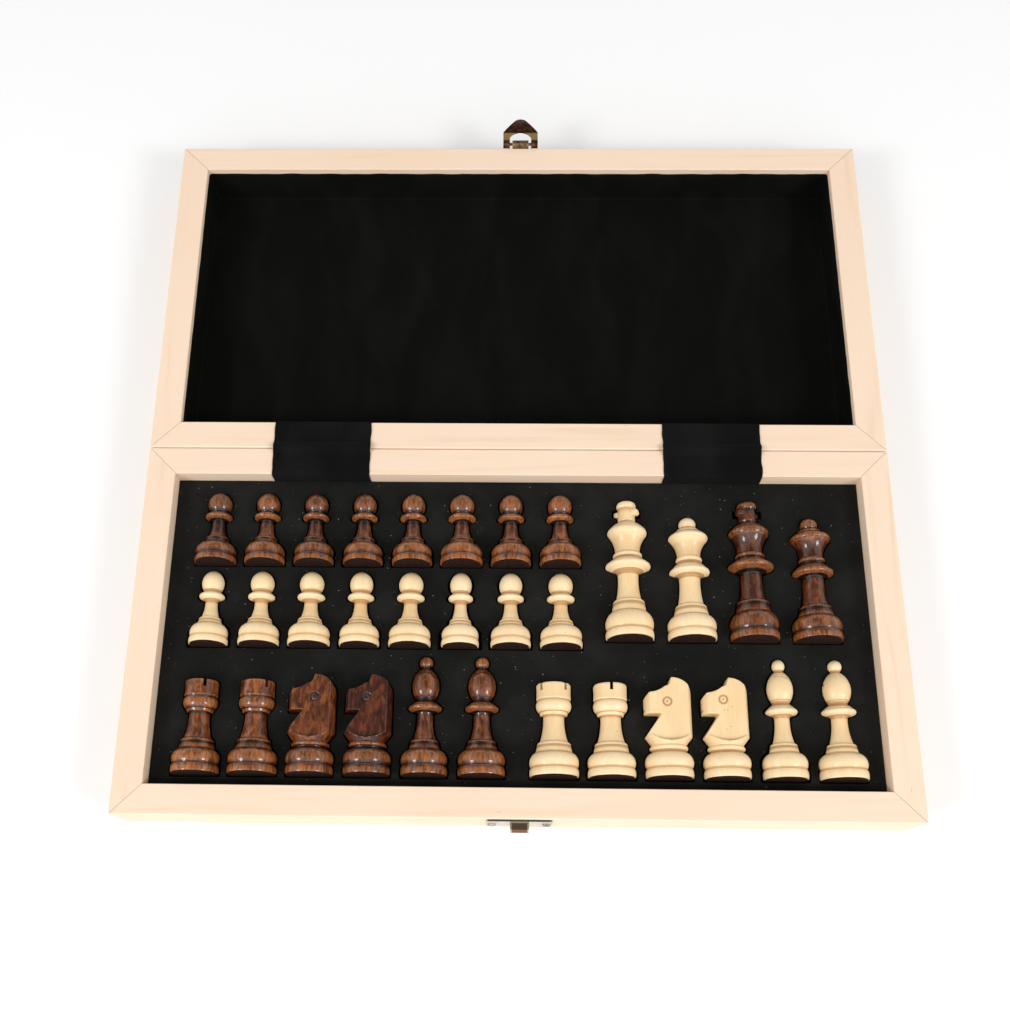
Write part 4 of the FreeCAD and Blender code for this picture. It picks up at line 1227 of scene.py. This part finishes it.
def make_screws(side, name, material):
    """All the screws of one half: six in the hinge leaves and two in the latch parts."""
    leaves = [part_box(name + "_hinge_leaves")[i] for i in (0, 1)]
    low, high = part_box(name + "_screws")
    hinge_x = (leaves[1].x + leaves[0].x * -1) / 2 - 17 * MM
    row = side * (abs(leaves[1].y if side > 0 else leaves[0].y) - 4.5 * MM)
    flat_spots = [(sx * hinge_x + k * 11 * MM, row, RIM) for sx in (-1, 1) for k in (-1, 0, 1)]
    plate_low, plate_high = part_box("latch_plate" if side > 0 else "catch_plate")
    middle = (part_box("latch_pin")[0].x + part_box("latch_pin")[1].x) / 2
    face = side * (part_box("base_panel")[0].y * -1 + 0.9 * MM)
    pan_spots = [(middle + k * 13.3 * MM, face, RIM - 12 * MM) for k in (-1, 1)]
    made = []
    kinds = (("pan", pan_spots, screw_head(name + "_pan", 2.1, 1.1, 9.9, True),
              (math.radians(-90 * side), 0, 0)),
             ("flat", flat_spots, screw_head(name + "_flat", 1.66, 0.8, 9.8, False), (0, 0, 0)))
    for label, spots, head, turn in kinds:
        obj = new_object(name + "_" + label + "_spots", spots, [])
        modifier = obj.modifiers.new("screws", "NODES")
        modifier.node_group = bpy.data.node_groups.get("Screws") or screws_tree()
        set_inputs(modifier, {"Head": head, "Turn": turn, "Seed": 3 + len(spots),
                              "Material": material})
        made.append(baked(obj))
        bpy.data.objects.remove(head)
    screws = attach(made, name + "_screw_set")
    crease_edges(screws, 40)
    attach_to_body(screws, name)
    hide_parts(name + "_screws")
    return screws


# ---- cloth -------------------------------------------------------------------------------------------------
def grid_faces(rows, columns, wrap=False):
    faces = []
    for j in range(rows - 1):
        for i in range(columns if wrap else columns - 1):
            k = (i + 1) % columns
            faces.append((j * columns + i, j * columns + k, (j + 1) * columns + k,
                          (j + 1) * columns + i))
    return faces


def strap_path(thickness):
    """The strap's middle line in the YZ plane, from the foam, over both rails, into the lid."""
    base_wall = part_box("base_hinge_rail")[0].y - thickness * 0.6
    lid_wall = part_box("lid_hinge_rail")[1].y + thickness * 0.6
    top = RIM + thickness * 0.6
    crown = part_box("left_strap")[1].z - thickness * 0.55
    turn = 1.1 * MM
    points = [(base_wall, FOAM_HIGH.z + 0.15 * MM), (base_wall, top - turn)]
    points += [(base_wall + turn * (1 - math.cos(a)), top - turn + turn * math.sin(a))
               for a in (0.5, 1.05, math.pi / 2)]
    steps = 26
    for i in range(1, steps):
        y = base_wall + turn + (lid_wall - base_wall - 2 * turn) * i / steps
        rise = (crown - top) * math.exp(-((y - HINGE.y) / (2.1 * MM)) ** 2)
        points.append((y, top + rise))
    points += [(lid_wall - turn * math.cos(a), top - turn + turn * math.sin(a))
               for a in (math.pi / 2, 1.05, 0.5)]
    points += [(lid_wall, top - turn), (lid_wall, LINING_HIGH.z + 0.25 * MM)]
    return points


def resampled(points, step):
    lengths = [0.0]
    for a, b in zip(points, points[1:]):
        lengths.append(lengths[-1] + math.dist(a, b))
    count = max(2, int(lengths[-1] / step))
    marks = np.linspace(0, lengths[-1], count + 1)
    columns = [np.interp(marks, lengths, [p[i] for p in points]) for i in range(2)]
    return list(zip(*columns)), lengths[-1]


def make_strap(node, seed, material, soft):
    low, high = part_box(node)
    path, length = resampled(strap_path(soft.cloth), 0.7 * MM)
    width = high.x - low.x
    across = 60
    vertices = []
    for j, (y, z) in enumerate(path):
        for i in range(across + 1):
            share = i / across
            x = low.x + width * share
            edge = noise.noise(Vector((j * 0.16, seed, 3.0 if share < 0.5 else 9.0))) * 0.35 * MM
            x += edge * abs(2 * share - 1) ** 6
            ripple = noise.noise(Vector((x * 55, y * 130, seed))) * 0.16 * MM
            crease = math.exp(-((y - HINGE.y - 3.4 * MM) / (0.9 * MM)) ** 2) * 0.12 * MM
            lift = max(0.0, ripple) + crease
            flat_part = abs(z - RIM) < 2.5 * MM
            vertices.append((x, y, z + (lift if flat_part else 0.0)))
    strap = new_object(node + "_cloth", vertices, grid_faces(len(path), across + 1), material)
    tidy_normals(strap)
    if strap.data.polygons[len(strap.data.polygons) // 2].normal.z < 0:
        strap.data.flip_normals()
    solid = strap.modifiers.new("cloth", "SOLIDIFY")
    solid.thickness = soft.cloth
    solid.offset = 0.0
    strap = baked(strap)
    for polygon in strap.data.polygons:
        polygon.use_smooth = True
    crease_edges(strap, 50)
    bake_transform(strap)
    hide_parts(node)
    return strap


def make_lining(material, soft):
    """One tray of cloth glued to the lid's floor and walls, with a slightly uneven top edge."""
    low, high = LINING_LOW, LINING_HIGH
    gap = soft.cloth * 0.75
    x0, x1, y0, y1 = low.x + gap, high.x - gap, low.y + gap, high.y - gap
    floor = low.z + gap
    corner = 1.6 * MM
    step = 1.6 * MM
    loop = []
    corners = ((x1 - corner, y1 - corner, 0), (x0 + corner, y1 - corner, 90),
               (x0 + corner, y0 + corner, 180), (x1 - corner, y0 + corner, 270))
    for number, (cx, cy, start) in enumerate(corners):
        for i in range(5):
            a = math.radians(start + i * 22.5)
            loop.append(((cx, cy), (math.cos(a), math.sin(a))))
        nx, ny, after = corners[(number + 1) % 4]
        a = math.radians(start + 90)
        count = int(math.dist((cx, cy), (nx, ny)) / step)
        loop += [((cx + (nx - cx) * i / count, cy + (ny - cy) * i / count),
                  (math.cos(a), math.sin(a))) for i in range(1, count)]
    fold = 1.2 * MM
    levels = [(fold - fold * math.sin(math.radians(a)), fold - fold * math.cos(math.radians(a)))
              for a in (0, 22.5, 45, 67.5, 90)]
    wall_top = high.z - floor
    levels += [(0.0, fold + (wall_top - fold) * i / 9) for i in range(1, 10)]
    vertices = []
    for inset, rise in levels:
        for index, ((cx, cy), (nx, ny)) in enumerate(loop):
            reach = corner - inset
            x, y = cx + nx * reach, cy + ny * reach
            pucker = noise.noise(Vector((x * 60, y * 60, rise * 90))) * 0.22 * MM
            share = rise / wall_top
            x, y = x - nx * max(0, pucker) * share, y - ny * max(0, pucker) * share
            edge = noise.noise(Vector((x * 95, y * 95, 5.0))) * 0.55 * MM * (rise >= wall_top - 1e-9)
            vertices.append((x, y, floor + rise + edge))
    faces = grid_faces(len(levels), len(loop), wrap=True)
    obj = new_object("lining_walls", vertices, faces, material)
    floor_grid = lining_floor(x0 + fold, x1 - fold, y0 + fold, y1 - fold, floor, loop, corner,
                              fold, material)
    cloth = attach([obj, floor_grid], "lid_lining_cloth")
    tidy_normals(cloth, weld=2e-5)
    middle = max(cloth.data.polygons, key=lambda p: p.area)
    if middle.normal.z < 0:
        cloth.data.flip_normals()
    solid = cloth.modifiers.new("cloth", "SOLIDIFY")
    solid.thickness = soft.cloth
    solid.offset = 0.0
    cloth = baked(cloth)
    for polygon in cloth.data.polygons:
        polygon.use_smooth = True
    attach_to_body(cloth, "lid")
    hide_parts("lid_lining")
    return cloth


def lining_floor(x0, x1, y0, y1, z, loop, corner, fold, material):
    """The floor of the lining: one face fan inside the loop of its lowest row."""
    ring = [(cx + nx * (corner - fold), cy + ny * (corner - fold), z)
            for (cx, cy), (nx, ny) in loop]
    bm = bmesh.new()
    verts = [bm.verts.new(p) for p in ring]
    bm.faces.new(verts)
    bmesh.ops.triangulate(bm, faces=bm.faces)
    mesh = bpy.data.meshes.new("lining_floor")
    bm.to_mesh(mesh)
    bm.free()
    mesh.materials.append(material)
    return link(bpy.data.objects.new("lining_floor", mesh))


# ---- operators -------------------------------------------------------------------------------------------
class ChessOperator:
    bl_options = {"REGISTER"}

    def execute(self, context):
        self.make(context.scene)
        return {"FINISHED"}


class CHESS_OT_box(ChessOperator, bpy.types.Operator):
    """Finish the rails and panels of both halves"""

    bl_idname = "chess.box"
    bl_label = "Box wood"

    def make(self, scene):
        wood = scene.chess_wood
        for half, shift in (("base", 0.0), ("lid", 3.7)):
            long = bare_pine(half + "_pine_long", "X", (shift, 1.3, 0.4), wood)
            short = bare_pine(half + "_pine_short", "Y", (2.1, shift + 0.6, 0.9), wood)
            repaint(half + "_latch_rail", long)
            repaint(half + "_hinge_rail", long)
            repaint(half + "_left_rail", short)
            repaint(half + "_right_rail", short)
            repaint(half + "_panel", long)


class CHESS_OT_board(ChessOperator, bpy.types.Operator):
    """Finish the playing squares on the outer faces"""

    bl_idname = "chess.board"
    bl_label = "Playing squares"

    def make(self, scene):
        wood = scene.chess_wood
        pale = board_veneer("light_veneer", wood.light_square, (0.55, 0.35, 0.18), "Y",
                            (0.3, 0.2, 0.0), 0.55)
        dark = board_veneer("dark_veneer", wood.dark_square, (0.035, 0.013, 0.007), "Y",
                            (1.3, 2.2, 0.0), 0.8)
        for half in ("base", "lid"):
            repaint(half + "_light_squares", pale)
            repaint(half + "_dark_squares", dark)


class CHESS_OT_lining(ChessOperator, bpy.types.Operator):
    """Line the lid with black flocked cloth"""

    bl_idname = "chess.lining"
    bl_label = "Lid lining"

    def make(self, scene):
        cloth = flock("lining_flock", (0.0036, 0.0036, 0.0033), (0.0078, 0.0075, 0.0069), 0.0)
        make_lining(cloth, scene.chess_soft)


class CHESS_OT_foam(ChessOperator, bpy.types.Operator):
    """Cut the foam tray and leave some lint on it"""

    bl_idname = "chess.foam"
    bl_label = "Foam tray"

    def make(self, scene):
        soft = scene.chess_soft
        slab, under = make_foam(soft)
        material = foam_finish()
        for piece in (slab, under):
            piece.data.materials.clear()
            piece.data.materials.append(material)
        tidy_normals(slab, smooth=False)
        tray = attach([slab, under], "foam_tray_cut")
        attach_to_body(tray, "base")
        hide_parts("foam_tray")
        self.scatter(tray, soft)

    def scatter(self, tray, soft):
        top = [p for p in tray.data.polygons
               if p.normal.z > 0.99 and abs(p.center.z - FOAM_HIGH.z) < 0.02 * MM]
        used = sorted({v for p in top for v in p.vertices})
        order = {v: i for i, v in enumerate(used)}
        surface = new_object("foam_lint", [tray.data.vertices[v].co for v in used],
                             [tuple(order[v] for v in p.vertices) for p in top])
        size = (FOAM_HIGH.x - FOAM_LOW.x) * (FOAM_HIGH.y - FOAM_LOW.y)
        modifier = surface.modifiers.new("lint", "NODES")
        modifier.node_group = lint_tree()
        set_inputs(modifier, {"Density": soft.lint / size, "Length": 0.36 * MM, "Seed": 5,
                              "Material": lint_finish()})
        lint = baked(surface)
        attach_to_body(lint, "base")


class CHESS_OT_straps(ChessOperator, bpy.types.Operator):
    """Lay the two cloth straps over the hinges"""

    bl_idname = "chess.straps"
    bl_label = "Straps"

    def make(self, scene):
        cloth = flock("strap_flock", (0.0040, 0.0040, 0.0039), (0.0110, 0.0105, 0.0103), 0.02)
        make_strap("left_strap", 1.7, cloth, scene.chess_soft)
        make_strap("right_strap", 6.3, cloth, scene.chess_soft)


class CHESS_OT_metal(ChessOperator, bpy.types.Operator):
    """Finish the latch, hinges and pins, and set the screws"""

    bl_idname = "chess.metal"
    bl_label = "Metal parts"

    def make(self, scene):
        brass = plated("hinge_brass", (0.72, 0.50, 0.24), (0.30, 0.20, 0.10), 0.28, 0.7)
        bronze = plated("latch_bronze", (0.30, 0.19, 0.10), (0.050, 0.030, 0.020), 0.34, 1.0)
        nickel = catch_finish()
        screw = plated("screw_plate", (0.50, 0.45, 0.37), (0.16, 0.13, 0.10), 0.25, 0.9)
        for node, finish in (("base_hinge_leaves", brass), ("lid_hinge_leaves", brass),
                             ("hinge_pins", brass), ("latch_plate", bronze),
                             ("latch_pin", bronze), ("catch_plate", nickel),
                             ("latch_hasp", hasp_finish())):
            repaint(node, finish)
        make_screws(-1, "base", screw)
        make_screws(1, "lid", screw)


class MenOperator(ChessOperator):
    """Shared by the operators that each make one kind of man in both colours."""

    def make(self, scene):
        brown = bpy.data.materials.get("brown_stain") or brown_stain()
        white = bpy.data.materials.get("white_varnish") or white_varnish()
        felt = bpy.data.materials.get("man_felt") or felt_finish()
        for node, number in men_nodes(self.kind):
            wood = brown if node.startswith("brown") else white
            make_man(node, self.kind, number, wood, felt, scene.chess_men)


class CHESS_OT_pawns(MenOperator, bpy.types.Operator):
    """Turn the sixteen pawns"""

    bl_idname = "chess.pawns"
    bl_label = "Pawns"
    kind = "pawn"


class CHESS_OT_kings(MenOperator, bpy.types.Operator):
    """Turn the two kings and cut their crosses"""

    bl_idname = "chess.kings"
    bl_label = "Kings"
    kind = "king"


class CHESS_OT_queens(MenOperator, bpy.types.Operator):
    """Turn the two queens"""

    bl_idname = "chess.queens"
    bl_label = "Queens"
    kind = "queen"


class CHESS_OT_rooks(MenOperator, bpy.types.Operator):
    """Turn the four rooks and saw their turrets"""

    bl_idname = "chess.rooks"
    bl_label = "Rooks"
    kind = "rook"


class CHESS_OT_bishops(MenOperator, bpy.types.Operator):
    """Turn the four bishops and saw their mitres"""

    bl_idname = "chess.bishops"
    bl_label = "Bishops"
    kind = "bishop"


class CHESS_OT_knights(MenOperator, bpy.types.Operator):
    """Turn the four knights' feet and carve their heads"""

    bl_idname = "chess.knights"
    bl_label = "Knights"
    kind = "knight"


class CHESS_OT_stage(ChessOperator, bpy.types.Operator):
    """Set up the floor, the lights and the camera"""

    bl_idname = "chess.stage"
    bl_label = "Stage"

    def make(self, scene):
        stage = scene.chess_stage
        self.floor()
        self.camera(scene, stage)
        for name, place, size, power in (
                ("left_box", (-1.15, -0.75, 1.05), 0.45, stage.box_light),
                ("right_box", (1.15, -0.75, 1.05), 0.45, stage.box_light),
                ("front_box", (0.0, -1.7, 1.5), 1.6, stage.box_light * 0.7)):
            self.lamp(name, Vector(place), size, power)
        self.sky(scene, stage)
        scene.view_settings.view_transform = "Standard"

    def floor(self):
        half, low = 6.0, -0.3 * MM
        finish = Finish("floor_paper", Roughness=0.9, Specular_IOR_Level=0.1)
        tree = finish.tree
        shade = tree.cloud(tree.stretch(tree.place(), (3.0, 3.0, 3.0)), 2.0)
        material = finish.feed(Base_Color=tree.mix(shade, (0.93, 0.93, 0.93), (0.95, 0.95, 0.95)))
        floor = new_object("floor", [(-half, -half, low), (half, -half, low), (half, half, low),
                                     (-half, half, low)], [(0, 1, 2, 3)], material)

    def camera(self, scene, stage):
        data = bpy.data.cameras.new("camera")
        data.lens = stage.lens
        data.sensor_width = 36.0
        data.shift_x, data.shift_y = stage.shift
        data.clip_start = 0.01
        camera = link(bpy.data.objects.new("camera", data))
        camera.location = stage.place
        camera.rotation_euler = stage.turn
        scene.camera = camera

    def lamp(self, name, place, size, power):
        data = bpy.data.lights.new(name, "AREA")
        data.shape = "SQUARE"
        data.size = size
        data.energy = power
        lamp = link(bpy.data.objects.new(name, data))
        lamp.location = place
        aim = Vector((0, -0.03, 0.0)) - place
        lamp.rotation_euler = aim.to_track_quat("-Z", "Y").to_euler()

    def sky(self, scene, stage):
        world = bpy.data.worlds.new("sky")
        world.use_nodes = True
        tree = Tree(world.node_tree)
        back = world.node_tree.nodes["Background"]
        back.inputs["Color"].default_value = (1.0, 1.0, 1.0, 1.0)
        flagged = tree.add("ShaderNodeTexCoord").out("Generated")
        mirror = Vector((0.0, 0.46, 0.89)).normalized()
        facing = tree.add("ShaderNodeVectorMath", {"operation": "DOT_PRODUCT"}, flagged, mirror)
        veil = facing.out("Value").step(0.70, 0.90)
        tree.feed(back.inputs["Strength"], stage.sky * (1 - veil * 0.80))
        scene.world = world


class CHESS_PT_panel(bpy.types.Panel):
    """Everything in the set, in the order it is made"""

    bl_label = "Chess set"
    bl_space_type = "VIEW_3D"
    bl_region_type = "UI"
    bl_category = "Chess set"

    def draw(self, context):
        for operator in OPERATORS:
            self.layout.operator(operator.bl_idname)
        for name, group in GROUPS:
            box = self.layout.box()
            for key in group.__annotations__:
                box.prop(getattr(context.scene, name), key)


GROUPS = (("chess_wood", ChessWood), ("chess_men", ChessMen), ("chess_soft", ChessSoft),
          ("chess_stage", ChessStage))
OPERATORS = (CHESS_OT_stage, CHESS_OT_box, CHESS_OT_board, CHESS_OT_lining, CHESS_OT_foam,
             CHESS_OT_straps, CHESS_OT_metal, CHESS_OT_pawns, CHESS_OT_kings, CHESS_OT_queens,
             CHESS_OT_rooks, CHESS_OT_bishops, CHESS_OT_knights)


def register():
    for name, group in GROUPS:
        bpy.utils.register_class(group)
        setattr(bpy.types.Scene, name, bpy.props.PointerProperty(type=group))
    for operator in OPERATORS:
        bpy.utils.register_class(operator)
    bpy.utils.register_class(CHESS_PT_panel)


def unregister():
    bpy.utils.unregister_class(CHESS_PT_panel)
    for operator in reversed(OPERATORS):
        bpy.utils.unregister_class(operator)
    for name, group in reversed(GROUPS):
        delattr(bpy.types.Scene, name)
        bpy.utils.unregister_class(group)


def main():
    register()
    for operator in OPERATORS:
        area_name, verb = operator.bl_idname.split(".")
        getattr(getattr(bpy.ops, area_name), verb)()


if __name__ == "__main__":
    main()
